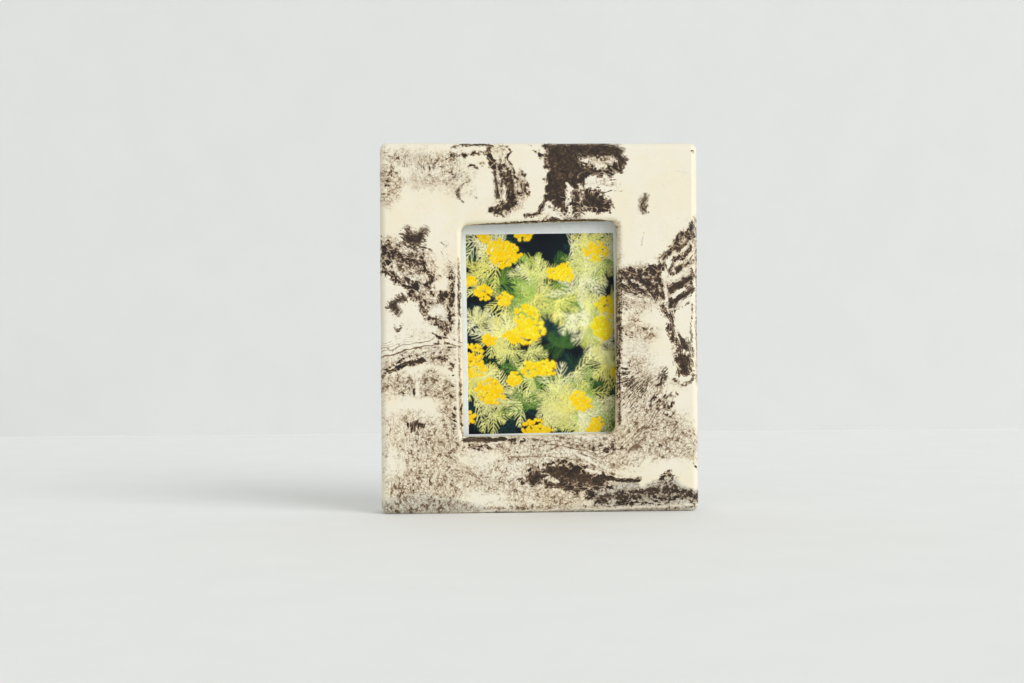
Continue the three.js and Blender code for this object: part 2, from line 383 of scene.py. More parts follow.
# each mark: clay, amount, softness of its edge, then the line it follows as (column, row, half width)
# a family of like lines adds how many there are and the step from one to the next
marks = {
    # fine grey-brown mottle
    "lowerVeil": ("wash", 0.66, 24, [(390, 382, 14), (420, 470, 36), (520, 478, 28), (600, 462, 28),
        (662, 420, 26)]),
    "lowerVeilTop": ("wash", 0.42, 20, [(385, 352, 8), (455, 356, 12)]),
    "rightVeil": ("wash", 0.42, 16, [(635, 312, 14), (640, 345, 20), (655, 385, 22), (690, 400, 10)]),
    "leftVeil": ("wash", 0.36, 16, [(395, 320, 8), (420, 335, 14), (445, 325, 10)]),
    "topVeil": ("wash", 0.62, 14, [(392, 180, 9), (420, 180, 13), (450, 184, 11), (470, 196, 6)]),
    "upperSpeckle": ("wash", 0.74, 12, [(390, 156, 9), (420, 162, 13), (452, 164, 15)]),
    "edgeSpeckleWash": ("wash", 1.15, 8, [(390, 176, 9), (396, 184, 8), (388, 200, 5)]),
    "arcWash": ("wash", 0.8, 8, [(446, 162, 7), (460, 150, 6), (480, 147, 5), (497, 150, 7)]),
    "swirlSpeckle": ("wash", 0.6, 8, [(448, 172, 8), (462, 180, 7), (478, 170, 4)]),
    "faintArcWash": ("wash", 0.9, 6, [(519, 176, 6), (523, 190, 7), (520, 204, 6)]),
    "patchFringe": ("wash", 0.75, 7, [(540, 214, 4), (560, 218, 4), (578, 218, 4)]),
    "leftRailWash": ("wash", 1.2, 9, [(390, 246, 8), (402, 262, 15), (420, 264, 13), (430, 278, 9)]),
    "leftRailMid": ("wash", 1.2, 9, [(418, 290, 8), (430, 300, 11), (440, 316, 11), (448, 330, 7)]),
    "leftContourWash": ("wash", 0.8, 8, [(386, 366, 8), (410, 356, 9), (440, 353, 11)]),
    "leftMottle": ("wash", 0.98, 7, [(386, 384, 12), (405, 385, 12), (430, 385, 15), (448, 392, 12)]),
    "rimRailWash": ("wash", 1.0, 6, [(440, 386, 7), (446, 404, 9), (447, 425, 9), (451, 440, 7)]),
    "rimRailHigh": ("wash", 1.2, 5, [(449, 268, 4), (450, 290, 6), (449, 312, 7), (448, 330, 6)]),
    "lowerLeftMottle": ("wash", 0.8, 10, [(404, 414, 5), (428, 430, 16), (442, 455, 22), (420, 482, 20),
        (450, 486, 16)]),
    "footLeftGrey": ("grey", 1.0, 8, [(386, 505, 8), (420, 503, 11), (455, 505, 8), (480, 509, 5)]),
    "lowerColumnWash": ("wash", 1.1, 8, [(408, 470, 7), (413, 485, 9), (411, 502, 7)]),
    "cornerLeftWash": ("wash", 0.75, 8, [(392, 480, 7), (393, 496, 9)]),
    "cornerLeftDeep": ("wash", 1.2, 7, [(398, 480, 8), (402, 492, 9)]),
    "footEdgeWash": ("wash", 1.0, 5, [(486, 507, 4), (520, 507, 5), (556, 506, 4)]),
    "cupWash": ("wash", 1.1, 6, [(640, 384, 8), (662, 386, 6), (680, 388, 6)]),
    "seamWash": ("wash", 1.0, 5, [(656, 302, 6), (662, 308, 4), (676, 306, 4)]),
    "underWindowWash": ("wash", 0.95, 8, [(470, 445, 8), (500, 447, 9), (530, 444, 10), (565, 442, 10),
        (600, 446, 10), (620, 442, 9)]),
    "underWindowMid": ("wash", 0.8, 9, [(505, 460, 9), (540, 456, 8), (575, 458, 9), (610, 460, 9)]),
    "footMidWash": ("wash", 0.85, 8, [(470, 481, 9), (500, 484, 9), (530, 495, 9), (560, 499, 9),
        (585, 500, 6)]),
    "lowerRightMottle": ("wash", 0.95, 10, [(630, 395, 12), (650, 404, 14), (640, 425, 21),
        (665, 432, 22), (690, 442, 12), (655, 450, 16), (690, 455, 9)]),
    "rightRailMottle": ("wash", 0.92, 9, [(626, 304, 10), (645, 305, 8), (628, 330, 10), (650, 336, 8)]),
    "rightRailLow": ("wash", 0.8, 9, [(630, 362, 10), (640, 378, 13), (660, 388, 10)]),
    "rightBandWash": ("dark", 0.62, 5, [(626, 281, 11), (645, 283, 13), (658, 288, 11)]),
    "rightBandDeep": ("wash", 1.3, 6, [(624, 281, 13), (645, 283, 16), (660, 290, 13)]),
    "swirlDeep": ("wash", 1.25, 4, [(500, 168, 8), (507, 184, 12), (508, 200, 12), (503, 209, 7)]),
    "footDeep": ("wash", 1.0, 8, [(598, 486, 9), (630, 489, 8), (662, 486, 9), (692, 492, 8)]),
    "diagonalWash": ("wash", 1.3, 5, [(692, 234, 7), (683, 252, 12), (680, 268, 11)]),
    "footRightGrey": ("grey", 1.5, 7, [(596, 497, 6), (620, 495, 9), (660, 494, 11), (694, 493, 12)]),
    # dark clay, upper left
    "edgeSpeckle": ("dark", 0.55, 8, [(389, 176, 6), (387, 194, 4)]),
    "cornerDash": ("dark", 0.6, 3, [(421, 163, 1), (428, 165, 1.3)]),
    "speckleBand": ("dark", 0.46, 9, [(398, 156, 4), (413, 164, 6), (430, 167, 7), (447, 170, 7),
        (456, 177, 6)]),
    "topArc": ("dark", 0.9, 3, [(451, 149, 1.5), (463, 146.5, 2), (480, 145.5, 2.5), (490, 148, 3)]),
    "secondArc": ("dark", 0.74, 3, [(446, 162, 2), (456, 156, 2.5), (468, 157, 2.5), (483, 153.5, 2)]),
    "arcTail": ("dark", 0.68, 3, [(469, 166, 1.5), (478, 168, 1.5), (486, 164, 2.5)]),
    "knot": ("dark", 1.0, 3, [(487, 149, 2.5), (489, 156, 3.5), (490, 164, 3)]),
    "knotLower": ("dark", 0.6, 2.5, [(497, 148, 2), (503, 150, 2)]),
    "knotLoop": ("dark", 0.75, 1.8, [(499, 146, 0.9), (508, 148, 1), (511, 153, 1), (508, 158, 0.9)]),
    "swirlBand": ("dark", 0.78, 3, [(491, 165, 4), (500, 167, 5), (506, 178, 9.5), (507, 190, 10),
        (506, 202, 10), (501, 209, 6)]),
    "swirlCore": ("dark", 1.05, 2.5, [(505, 168, 3), (511, 178, 3.5), (512, 192, 4), (509, 205, 4)]),
    "swirlRim": ("dark", 0.9, 2.2, [(506, 158, 1.3), (513, 167, 1.7), (517, 180, 1.7), (517, 196, 1.2)]),
    "swirlFoot": ("dark", 1.1, 3, [(490, 210, 3), (498, 211, 4), (507, 208, 3.5), (514, 203, 2)]),
    "swirlInner": ("dark", 1.15, 2.2, [(491, 167, 1.8), (496, 178, 1.8), (496, 188, 2), (497, 197, 3)]),
    "faintArc": ("dark", 0.6, 4, [(520, 176, 4), (524, 186, 5), (522, 200, 4)]),
    "faintArcRim": ("dark", 0.85, 2, [(522, 175, 1.4), (528, 183, 1.8), (529, 192, 1.4), (527, 200, 1)]),
    "squiggle": ("dark", 0.85, 2, [(468, 181, 1), (462, 187, 1.4), (457, 193, 2), (460, 200, 1.4),
        (463, 203, 1)]),
    "shortLine": ("dark", 0.6, 1.8, [(472, 198, 0.7), (480, 199, 0.7)]),
    # dark patch at the top
    "patchTop": ("dark", 1.2, 3, [(546, 148, 4), (570, 150, 7), (600, 148, 5), (620, 151, 4)]),
    "patchBody": ("dark", 1.25, 2.5, [(554, 156, 11), (562, 160, 18), (565, 170, 18), (559, 180, 15),
        (554, 188, 11)]),
    "patchRight": ("dark", 1.15, 3, [(585, 152, 7), (614, 152, 6), (622, 160, 4), (619, 170, 3)]),
    "patchUnderEye": ("dark", 1.1, 4, [(578, 172, 9), (592, 173, 6), (606, 173, 4), (619, 166, 3)]),
    "patchDrip": ("dark", 0.85, 4, [(596, 176, 2.5), (600, 181, 2)]),
    "leftLobe": ("dark", 1.02, 3, [(553, 184, 9), (555, 194, 10), (558, 203, 8), (563, 210, 6)]),
    "rightLobe": ("dark", 1.1, 3, [(585, 193, 6), (590, 199, 10), (598, 204, 8), (607, 207, 5)]),
    "rightLobeFoot": ("dark", 0.9, 4, [(580, 207, 6), (576, 215, 5)]),
    "lobeLink": ("dark", 0.98, 3, [(576, 182, 4), (575, 196, 4), (574, 210, 4)]),
    "patchContour": ("dark", 0.7, 1.8, [(530, 146, 0.7), (536, 153, 0.8), (540, 163, 0.8)]),
    "underLobeStreak": ("dark", 1.1, 2.5, [(526, 216, 2), (536, 214, 2.4), (543, 207, 2), (547, 197, 2)]),
    "fringe": ("dark", 0.72, 4, [(541, 219, 2), (552, 220, 2.5), (570, 220, 2.5)]),
    "loneSpot": ("dark", 0.92, 3, [(645, 197, 3.5), (643, 204, 4.5), (643, 211, 3.5), (647, 213, 1.5)]),
    "crack": ("dark", 0.6, 1.5, [(644, 232, 0.5), (641, 247, 0.5)]),
    "cornerFleck": ("dark", 0.55, 2, [(681, 147, 1.2), (682, 148, 1)]),
    "cornerFleckLow": ("dark", 0.55, 2, [(692, 153, 1.2), (694, 155, 1.2)]),
    # dark clay, right rail
    "diagonalBand": ("dark", 0.88, 3, [(694, 226, 2.5), (684, 238, 5), (674, 249, 5.5), (662, 260, 4)]),
    "diagonalSecond": ("dark", 0.85, 4, [(692, 238, 4), (684, 250, 7), (676, 260, 7), (671, 270, 4)]),
    "diagonalThird": ("dark", 0.8, 3, [(690, 258, 4), (680, 268, 5), (672, 276, 3)]),
    "bandUpper": ("dark", 0.86, 3, [(622, 272, 4), (640, 274, 6), (655, 271, 8), (663, 266, 6)]),
    "bandLower": ("dark", 0.8, 3, [(623, 288, 5), (634, 290, 5), (648, 293, 6), (660, 299, 6)]),
    "bandRight": ("dark", 0.72, 3, [(654, 281, 8), (662, 290, 5), (663, 304, 3), (664, 316, 2.5)]),
    "chevronUpper": ("dark", 1.1, 2, [(669, 291, 3.8), (678, 287, 5), (691, 278, 3.4)]),
    "chevronLower": ("dark", 1.1, 2, [(668, 304, 4.4), (678, 299, 4.2), (690, 291, 3.4)]),
    "chevronTop": ("dark", 0.86, 3, [(672, 262, 2), (680, 268, 3), (690, 264, 3)]),
    "chevronEdge": ("dark", 0.95, 2, [(691, 268, 1.2), (691, 280, 1.5), (690.5, 296, 1.2)]),
    "chevronTail": ("dark", 0.8, 1.6, [(674, 310, 0.8), (682, 308, 1), (689, 303, 0.9)]),
    "diagonalFill": ("dark", 0.9, 3, [(690, 248, 3), (685, 254, 4), (688, 265, 3.5), (678, 271, 3)]),
    "stem": ("dark", 0.92, 4, [(663, 312, 4), (669, 316, 4.5), (671, 326, 4.5), (673, 338, 5),
        (677, 346, 5)]),
    "rightLine": ("dark", 0.85, 1.8, [(692, 305, 0.9), (691, 325, 0.9), (691, 342, 1)]),
    "strongBlob": ("dark", 1.25, 3, [(683, 343, 5), (683, 352, 8), (683, 362, 8.5), (683, 372, 6)]),
    "contourCup": ("dark", 1.1, 2, [(672, 380, 1.3), (677, 385, 1.4), (684, 387, 1.5), (691, 382, 1.5),
        (694, 374, 1.3)]),
    "mottleSpotHigh": ("dark", 0.6, 4, [(623, 305, 2.5), (627, 308, 2)]),
    "mottleSpotLow": ("dark", 0.68, 4, [(625, 327, 3.5), (624, 335, 2.5)]),
    "ring": ("dark", 0.6, 2.2, [(639, 327, 1.2), (646, 333, 1.3), (640, 338, 1.2), (628, 338, 1.2)]),
    "ringLine": ("dark", 0.55, 1.6, [(640, 326, 0.7), (655, 325, 0.7)]),
    "lowMottle": ("dark", 0.8, 6, [(624, 372, 5), (627, 384, 8), (638, 388, 8), (646, 383, 5)]),
    "lowStroke": ("dark", 0.75, 3, [(662, 371, 3), (659, 386, 4)]),
    "clusterLeft": ("dark", 0.6, 6, [(652, 402, 8), (662, 404, 9), (668, 408, 7)]),
    "clusterTop": ("dark", 0.75, 4, [(664, 396, 4), (676, 394, 4.5)]),
    "clusterLow": ("dark", 0.65, 4, [(667, 414, 4), (673, 415, 4)]),
    "windowSideMottle": ("dark", 0.6, 6, [(624, 390, 5), (630, 396, 5), (626, 404, 3)]),
    "rightEdgeSpecks": ("dark", 0.55, 5, [(688, 464, 3), (694, 470, 3)]),
    # dark clay, left rail
    "leftCluster": ("dark", 1.12, 3, [(408, 230, 3), (410, 238, 7), (418, 240, 7), (424, 232, 3.5)]),
    "leftClusterTail": ("dark", 0.75, 4, [(402, 248, 4), (414, 247, 5), (426, 247, 3)]),
    "leftEdgeBlob": ("dark", 0.95, 4, [(390, 244, 4), (388, 255, 6), (386, 266, 5), (387, 272, 3)]),
    "leftEdgeLine": ("dark", 0.85, 2, [(383, 236, 1), (383, 276, 1.3)]),
    "railMass": ("dark", 0.56, 8, [(394, 252, 9), (408, 258, 15), (420, 266, 13), (428, 276, 8)]),
    "railMassLower": ("dark", 0.96, 4, [(388, 272, 4), (400, 278, 5), (410, 283, 5), (416, 287, 3)]),
    "vLeft": ("dark", 1.02, 4, [(411, 289, 4.5), (419, 300, 5.5), (424, 310, 5), (433, 318, 5),
        (441, 325, 5), (447, 330, 3)]),
    "vInner": ("dark", 0.72, 5, [(428, 272, 6), (430, 286, 8), (431, 300, 6)]),
    "vBlob": ("dark", 1.05, 3, [(438, 302, 4), (442, 296, 5.5), (447, 293, 3)]),
    "edgeBlob": ("dark", 0.72, 4, [(449, 275, 3.5), (452, 282, 4), (454, 292, 3)]),
    "railFaint": ("dark", 0.42, 5, [(444, 244, 3), (446, 256, 3)]),
    "vRight": ("dark", 0.62, 5, [(455, 310, 3), (451, 320, 6), (446, 329, 4)]),
    "ringBlob": ("dark", 1.05, 3, [(405, 298, 3.5), (399, 301, 4.5), (394, 306, 6), (398, 312, 3.5)]),
    "railSpecks": ("dark", 0.8, 2.5, [(394, 325, 1.4), (397, 331, 2), (403, 324, 1.2)]),
    "railSquiggle": ("dark", 0.74, 1.8, [(431, 332, 0.8), (437, 337, 0.9), (448, 338, 0.8)]),
    "railThin": ("dark", 0.6, 1.6, [(433, 342, 0.7), (452, 343.5, 0.7)]),
    "railCurl": ("dark", 0.7, 1.8, [(384, 346, 0.7), (392, 349.5, 1.2), (401, 343, 0.8)]),
    "contourUpper": ("dark", 0.5, 1.6, [(382, 358, 0.7), (403, 353, 0.7), (420, 348, 0.8),
        (437, 346, 0.8), (458, 347, 0.7)]),
    "contourMid": ("dark", 0.95, 1.6, [(384, 370, 0.9), (394, 363, 1), (408, 356.5, 1), (424, 352.5, 1),
        (440, 351, 0.9)]),
    "contourMain": ("dark", 1.12, 2, [(382, 376, 1.6), (390, 370.5, 1.6), (402, 364.5, 1.8),
        (413, 361, 2.2), (424, 360, 2)]),
    "contourBits": ("dark", 0.7, 4, [(415, 357, 2.5), (428, 358, 3.5), (440, 357, 3.5), (450, 364, 2)]),
    "contourHook": ("dark", 0.7, 2, [(440, 352, 1.2), (445, 359, 1.2)]),
    "contourDrip": ("dark", 0.6, 2.5, [(447, 364, 1.5), (452, 374, 1.5)]),
    "lensRimLeft": ("dark", 0.66, 1.8, [(413.5, 380, 0.8), (413, 390, 0.8), (415, 396, 0.8)]),
    "lensRimRight": ("dark", 0.66, 1.8, [(419.5, 380, 0.8), (419.5, 392, 1)]),
    "underLens": ("dark", 0.58, 3, [(402, 391, 2.5), (409, 392, 2)]),
    "railDash": ("dark", 0.8, 2, [(444, 382.5, 1), (453, 386, 1.2)]),
    "windowEdgeLeft": ("dark", 0.8, 2.5, [(458.5, 272, 1), (459, 296, 1.3), (459, 316, 1.2)]),
    "windowEdgeLow": ("dark", 0.62, 3, [(451, 394, 1.6), (452, 404, 1.2), (451, 414, 1.8),
        (452, 424, 1.6)]),
    "windowEdgeInner": ("dark", 0.7, 2, [(460, 394, 1), (460, 418, 1.2), (461, 432, 1)]),
    # dark clay, foot
    "lowerCluster": ("dark", 0.95, 2.5, [(423, 424, 3), (417, 423, 3.5), (410, 424, 3.5), (412, 428, 3)]),
    "lowerColumn": ("dark", 0.34, 8, [(408, 470, 6), (413, 485, 8), (411, 502, 6)]),
    "lowerColumnSide": ("dark", 0.4, 6, [(424, 478, 4), (438, 479, 4)]),
    "footCorner": ("dark", 0.6, 4, [(387, 507, 3), (397, 509, 3)]),
    "underWindowStrip": ("dark", 1.2, 2, [(462, 439.6, 2.2), (482, 439.2, 2.5), (503, 438.6, 2)]),
    "underWindowSmudge": ("dark", 0.8, 4, [(466, 444, 3), (476, 446, 3.5), (489, 445, 2.5)]),
    "underWindowSecond": ("dark", 0.66, 3, [(506, 439, 1.5), (522, 440, 1.5)]),
    "underWindowSpeck": ("dark", 0.66, 3, [(515, 451, 2), (518, 450, 2)]),
    "footMass": ("dark", 1.0, 3, [(524, 477, 4), (536, 473, 7), (548, 471, 9), (560, 472, 11),
        (574, 477, 11), (590, 482, 9), (602, 482, 6)]),
    "footMassLeft": ("dark", 1.0, 3, [(519, 479, 2.5), (529, 478, 4), (535, 467, 3)]),
    "footMassUnder": ("dark", 0.95, 3, [(528, 481, 3), (545, 482, 4.5), (560, 485, 5), (576, 490, 5)]),
    "footMassLower": ("dark", 0.92, 4, [(568, 484, 5), (582, 489, 6), (594, 495, 6), (604, 499, 5)]),
    "edgeStreak": ("wash", 1.3, 2.5, [(696, 218, 1), (696.5, 250, 1.6), (696.5, 300, 1.6),
        (697, 345, 1.2), (697, 386, 1.2)]),
    "edgeStreakDark": ("dark", 0.7, 2, [(696.5, 216, 0.8), (696.5, 240, 1), (697, 262, 0.7)]),
    "edgeStreakLow": ("dark", 0.62, 2, [(696.5, 318, 0.8), (697, 345, 0.9), (697, 362, 0.7)]),
    "footTail": ("dark", 1.15, 2, [(602, 477, 4), (618, 480, 2.6), (630, 481.5, 2), (638, 480.5, 2.4)]),
    "footLobes": ("dark", 0.6, 7, [(600, 488, 8), (622, 490, 7), (640, 493, 7)]),
    "footBand": ("dark", 0.6, 6, [(598, 499, 7), (625, 499, 8), (660, 499, 8), (697, 497, 8)]),
    # painted shade: a grey band on the foot's rounded bottom edge, which turns down away from the light
    "footRimShade": ("grey", 1.0, 4, [(384, 511, 4), (480, 512, 3), (590, 510, 4), (697, 508, 4)]),
    # painted highlight: a pale line along the foot's rounded bottom edge
    "footGlint": ("pale", 0.6, 1.6, [(380, 512.5, 0.8), (480, 511, 0.9), (590, 508.5, 1),
        (640, 507.5, 1), (696, 506, 0.9)]),
    "hump": ("dark", 1.0, 3, [(658, 477, 3), (665, 473, 4.5), (671, 478, 3)]),
    "humpLower": ("dark", 0.5, 6, [(653, 487, 6), (667, 486, 7), (679, 492, 6)]),
    "cornerRight": ("dark", 0.7, 4, [(692, 492, 5), (697, 502, 4)]),
    "flowFirst": ("lined", 0.9, 6, [(548, 444, 6), (580, 450, 9), (606, 454, 10), (630, 444, 10),
        (648, 424, 9), (664, 402, 7)]),
    "flowSecond": ("dark", 0.5, 5, [(582, 446, 3), (600, 450, 5), (616, 446, 4)]),
    "flowThird": ("lined", 0.8, 6, [(512, 456, 5), (545, 458, 6), (580, 464, 6), (610, 472, 5)]),
    "flowFourth": ("lined", 0.7, 7, [(650, 438, 6), (662, 424, 8), (684, 420, 8)]),
    "flowVeins": ("dark", 0.74, 4, [(600, 450, 3), (614, 449, 3)]),
    "rightSpeckle": ("dark", 0.3, 10, [(655, 445, 8), (675, 450, 9), (690, 446, 7)]),
    "strataHigh": ("lined", 0.9, 5, [(382, 352, 8), (405, 348, 10), (430, 346, 9), (458, 348, 7)]),
    "patchStreaks": ("dark", 0.72, 1.4, [(592, 180, 0.8), (604, 178, 0.8), (618, 177, 0.4)], (6, 0.6, 3)),
    "diagonalLines": ("lined", 1.0, 4, [(695, 226, 6), (680, 246, 8), (664, 262, 6)]),
    # pale clay laid over both
    "swirlOval": ("pale", 1, 3, [(485, 172, 5), (486, 186, 5.5), (487, 200, 4)]),
    "swirlSlit": ("pale", 0.85, 2, [(504, 186, 1.3), (504, 199, 1.4)]),
    "arcGap": ("pale", 0.9, 3, [(455, 152, 1.5), (470, 150.5, 2), (482, 149.5, 1.2)]),
    "topLobe": ("pale", 1, 3, [(533, 160, 5), (536, 175, 7), (535, 192, 7), (533, 206, 5)]),
    "patchNotch": ("pale", 0.85, 3, [(543, 151, 2), (545, 153, 2)]),
    "eye": ("pale", 0.9, 3, [(599, 160, 2), (604, 160, 2.6), (609, 161, 2)]),
    "streaked": ("pale", 0.9, 3, [(590, 183, 2.5), (600, 184, 4), (613, 187, 4)]),
    "innerArcs": ("pale", 0.8, 1.6, [(566, 184, 1.2), (569.5, 190, 1.5), (568, 197, 1.2)]),
    "lobeFoot": ("pale", 0.7, 2, [(549, 210, 2), (553, 215, 1.6)]),
    "diagonalStreak": ("pale", 0.85, 1.8, [(690, 244, 0.9), (680, 253, 1.3), (671, 258, 1.5),
        (669, 266, 1.3)]),
    "diagonalStreakLow": ("pale", 0.85, 1.8, [(692, 254, 1), (683, 262, 1.3), (676, 265, 1.3)]),
    "chevronGap": ("pale", 0.97, 2, [(673, 297, 1.5), (684, 291, 1.5)]),
    "chevronGapTop": ("pale", 0.85, 2.5, [(668, 281, 1.8), (676, 277, 2.2), (686, 271, 1.5)]),
    "triangle": ("pale", 1, 3, [(683, 316, 6), (683, 326, 5.5), (684, 335, 4)]),
    "blobTop": ("pale", 0.7, 2.5, [(682, 352, 2.5), (687, 354, 2.5)]),
    "bandLine": ("pale", 0.45, 2, [(623, 281.5, 1), (634, 282, 1), (644, 286, 1)]),
    "seam": ("pale", 0.75, 2, [(663, 272, 1), (664.5, 290, 1.3), (667, 314, 1)]),
    "rimLeft": ("wash", 1.6, 1.8, [(457.8, 258, 0.6), (458, 300, 1), (458.2, 340, 0.8), (458.8, 380, 1),
        (459.6, 426, 1.1), (462, 436, 0.8)]),
    "rimLeftHigh": ("dark", 0.85, 2, [(458, 266, 0.8), (458.2, 290, 1.2), (458.2, 320, 0.7)]),
    "rimLeftLow": ("dark", 0.8, 2.2, [(459, 390, 0.7), (459.6, 408, 1.2), (460, 426, 0.9)]),
    "railRim": ("dark", 0.8, 4, [(451, 272, 3), (452, 286, 3.5), (450, 300, 4), (449, 316, 4),
        (447, 327, 4)]),
    "railRimLow": ("dark", 0.75, 3, [(452, 392, 1.2), (453, 404, 1.8), (453, 416, 1.4), (454, 430, 1.2)]),
    # painted highlight: a pale line along the window's left rim where the glaze catches the light
    "rimGlint": ("pale", 0.85, 1.2, [(455.8, 270, 0.6), (456, 380, 0.7), (456.6, 410, 0.8),
        (458, 434, 0.8), (461.5, 440, 0.8)]),
    # painted shade: a dark line on the underside of the window's top lip
    "rimHeadShade": ("dark", 1.0, 1.2, [(466, 228, 0.6), (472, 225.5, 0.7), (490, 224.3, 0.8),
        (510, 223.2, 0.8), (540, 222, 0.9), (575, 221, 1.2), (600, 220.8, 1), (612, 222.5, 0.9),
        (617, 228, 0.8)]),
    # painted shade and brown clay: these four marks darken the window's right inner wall, which faces away
    # from the light
    "rimRight": ("wash", 1.5, 2.5, [(618.2, 268, 1.6), (618.5, 330, 2.4), (618, 425, 2)]),
    "rimRightDark": ("dark", 0.95, 1.4, [(616.6, 274, 0.6), (616.6, 300, 0.9), (616.4, 340, 0.8),
        (616.2, 400, 0.7)]),
    "rimRightLine": ("dark", 0.9, 1.4, [(620.3, 268, 0.8), (620.2, 300, 0.9), (620, 345, 0.7)]),
    "rimRightHigh": ("wash", 0.62, 3, [(612, 221, 1.6), (618.5, 224, 2.4), (619, 244, 2.2),
        (619, 264, 2.2)]),
    "railPocket": ("pale", 0.92, 3, [(437, 287, 3.5), (443, 284, 4)]),
    "railPocketLow": ("pale", 0.88, 3, [(434, 312, 3.5), (441, 311, 4), (445, 317, 2)]),
    "ringHole": ("pale", 0.8, 2, [(399, 304, 1.2), (402, 305, 1.2)]),
    "lens": ("pale", 1, 2, [(416.5, 382, 1.2), (416.5, 392, 1.8)]),
    "palePatch": ("pale", 0.96, 4, [(391, 405, 5), (408, 403, 5), (424, 401, 3)]),
    "palePatchLow": ("pale", 0.6, 6, [(394, 440, 4), (394, 455, 5), (395, 468, 4)]),
    "paleMid": ("pale", 0.62, 7, [(465, 458, 5), (482, 459, 6), (497, 458, 4)]),
    "paleFoot": ("pale", 0.62, 5, [(463, 496, 4), (482, 497, 4), (502, 495, 3)]),
    "wave": ("pale", 1, 3, [(640, 484, 3), (650, 476, 4), (659, 467, 5), (670, 463, 4.5), (682, 467, 5),
        (691, 475, 5), (697, 484, 3)]),
    "waveRight": ("pale", 0.96, 3, [(676, 473, 3), (684, 480, 6), (693, 487, 4)]),
    "massLine": ("pale", 0.35, 1.8, [(537, 481, 0.6), (540, 470, 0.7), (551, 464.5, 0.8), (560, 466, 0.8)]),
    "flowLight": ("pale", 0.6, 2, [(560, 448, 1), (575, 454, 1.2), (590, 463, 1.2), (606, 470, 1.3),
        (622, 473, 1.6), (638, 468, 2), (652, 456, 2)]),
    "flowLightLow": ("pale", 0.6, 1.8, [(585, 470, 0.8), (602, 474.5, 1), (620, 477, 1.2),
        (636, 474, 1.4)]),
    "paleRight": ("pale", 0.96, 5, [(684, 402, 7), (692, 408, 5)]),
    "blobFoot": ("pale", 0.92, 4, [(667, 388, 3.5), (690, 392, 5)]),
    "cupInner": ("pale", 0.92, 2.5, [(680, 380, 2), (688, 379, 2)]),
    "railPale": ("pale", 0.92, 5, [(645, 317, 5), (655, 320, 4)]),
    "railPaleLow": ("pale", 0.8, 6, [(660, 345, 6), (662, 358, 5)]),
    # flecks of dark clay left inside the pale eye
    "eyeFleck": ("dark", 0.7, 3, [(597, 158, 1.5), (601, 163, 1.8)]),
    "eyeFleckRight": ("dark", 0.75, 3, [(607, 160, 1.5), (611, 162, 1.8)]),
    "eyeNet": ("wash", 1.2, 3, [(596, 160, 5), (611, 161, 5)]),
    "streakNet": ("wash", 0.62, 5, [(588, 182, 4), (602, 184, 6), (616, 187, 5)]),
}
marbling = {
    "seed": 6,
    "drift": 0.5,
    "driftSize": 6.0,
    "ripple": 0.4,
    "rippleSize": 2.0,
    "rippleFrom": (7, 3, 5),
    "depthDrift": 0.3,
    "depthSize": 14.0,
    "depthFrom": (2, 9, 4),
    "bare": 0.03,
    "spread": 0.35,  # wider marks have softer, more broken edges
    "widestSpread": 15.0,
    "rimCalm": 0.15,  # share of the drift that is left at the window's rim
    "rimReach": 5.0,
    "layCalm": 0.02,  # pull of the level layers where no guide is near
}

# guides that the layers of clay run along: reach, then points as (column, row)
guides = {
    "topArcs": (14, [(440, 166), (458, 153), (484, 147), (510, 152)]),
    "swirl": (10, [(490, 160), (502, 168), (509, 184), (507, 202), (496, 213)]),
    "faintArc": (9, [(515, 172), (525, 184), (525, 200), (516, 210)]),
    "patchSide": (12, [(528, 145), (538, 158), (543, 178), (541, 200), (530, 216)]),
    "patchBody": (14, [(560, 146), (570, 162), (566, 180), (556, 196), (548, 212)]),
    "lobeLoop": (7, [(556, 206), (560, 190), (566, 183), (572, 190), (571, 204), (566, 214)]),
    "patchStreaks": (14, [(575, 172), (600, 176), (624, 176)]),
    "eyeRing": (7, [(594, 160), (600, 153), (610, 155), (613, 162), (604, 167), (596, 164)]),
    "rightLobe": (12, [(578, 192), (592, 203), (612, 208)]),
    "leftMass": (16, [(382, 244), (402, 254), (424, 262), (434, 280), (440, 302)]),
    "leftLower": (10, [(384, 268), (402, 280), (416, 292), (424, 310), (446, 328)]),
    "vRight": (8, [(450, 278), (456, 295), (454, 316), (448, 330)]),
    "contours": (16, [(380, 354), (404, 347), (430, 343), (460, 345)]),
    "contourMain": (12, [(380, 378), (396, 368), (412, 362), (432, 360), (460, 362)]),
    "leftLow": (22, [(380, 392), (420, 388), (460, 392)]),
    "leftFoot": (26, [(412, 420), (414, 460), (412, 512)]),
    "underWindow": (16, [(462, 440), (520, 441), (560, 445), (596, 454), (622, 448), (644, 428),
        (668, 398)]),
    "flowLow": (14, [(500, 462), (545, 458), (580, 462), (610, 472), (636, 470), (654, 452), (680, 425)]),
    "footMass": (12, [(510, 486), (540, 474), (575, 475), (606, 481), (638, 480), (656, 469), (672, 464),
        (696, 480)]),
    "foot": (14, [(480, 508), (560, 502), (620, 498), (697, 500)]),
    "rightDiagonal": (12, [(698, 214), (684, 236), (668, 254), (656, 266), (624, 270)]),
    "diagonalLow": (9, [(696, 240), (682, 258), (670, 272)]),
    "band": (14, [(660, 288), (640, 282), (620, 276)]),
    "chevrons": (10, [(697, 280), (680, 291), (667, 300)]),
    "seam": (8, [(666, 262), (664, 290), (665, 312), (671, 330), (680, 352), (685, 376)]),
    "ring": (9, [(620, 316), (632, 328), (644, 330), (656, 322)]),
    "cup": (8, [(672, 380), (682, 386), (693, 380)]),
}


def toSegment(start, end, x, y):
    dx, dy = end[0] - start[0], end[1] - start[1]
    px, py = x - start[0], y - start[1]
    along = np.clip((px * dx + py * dy) / (dx * dx + dy * dy), 0, 1)
    away = np.hypot(px - along * dx, py - along * dy)
    return along, away, dx * py - dy * px


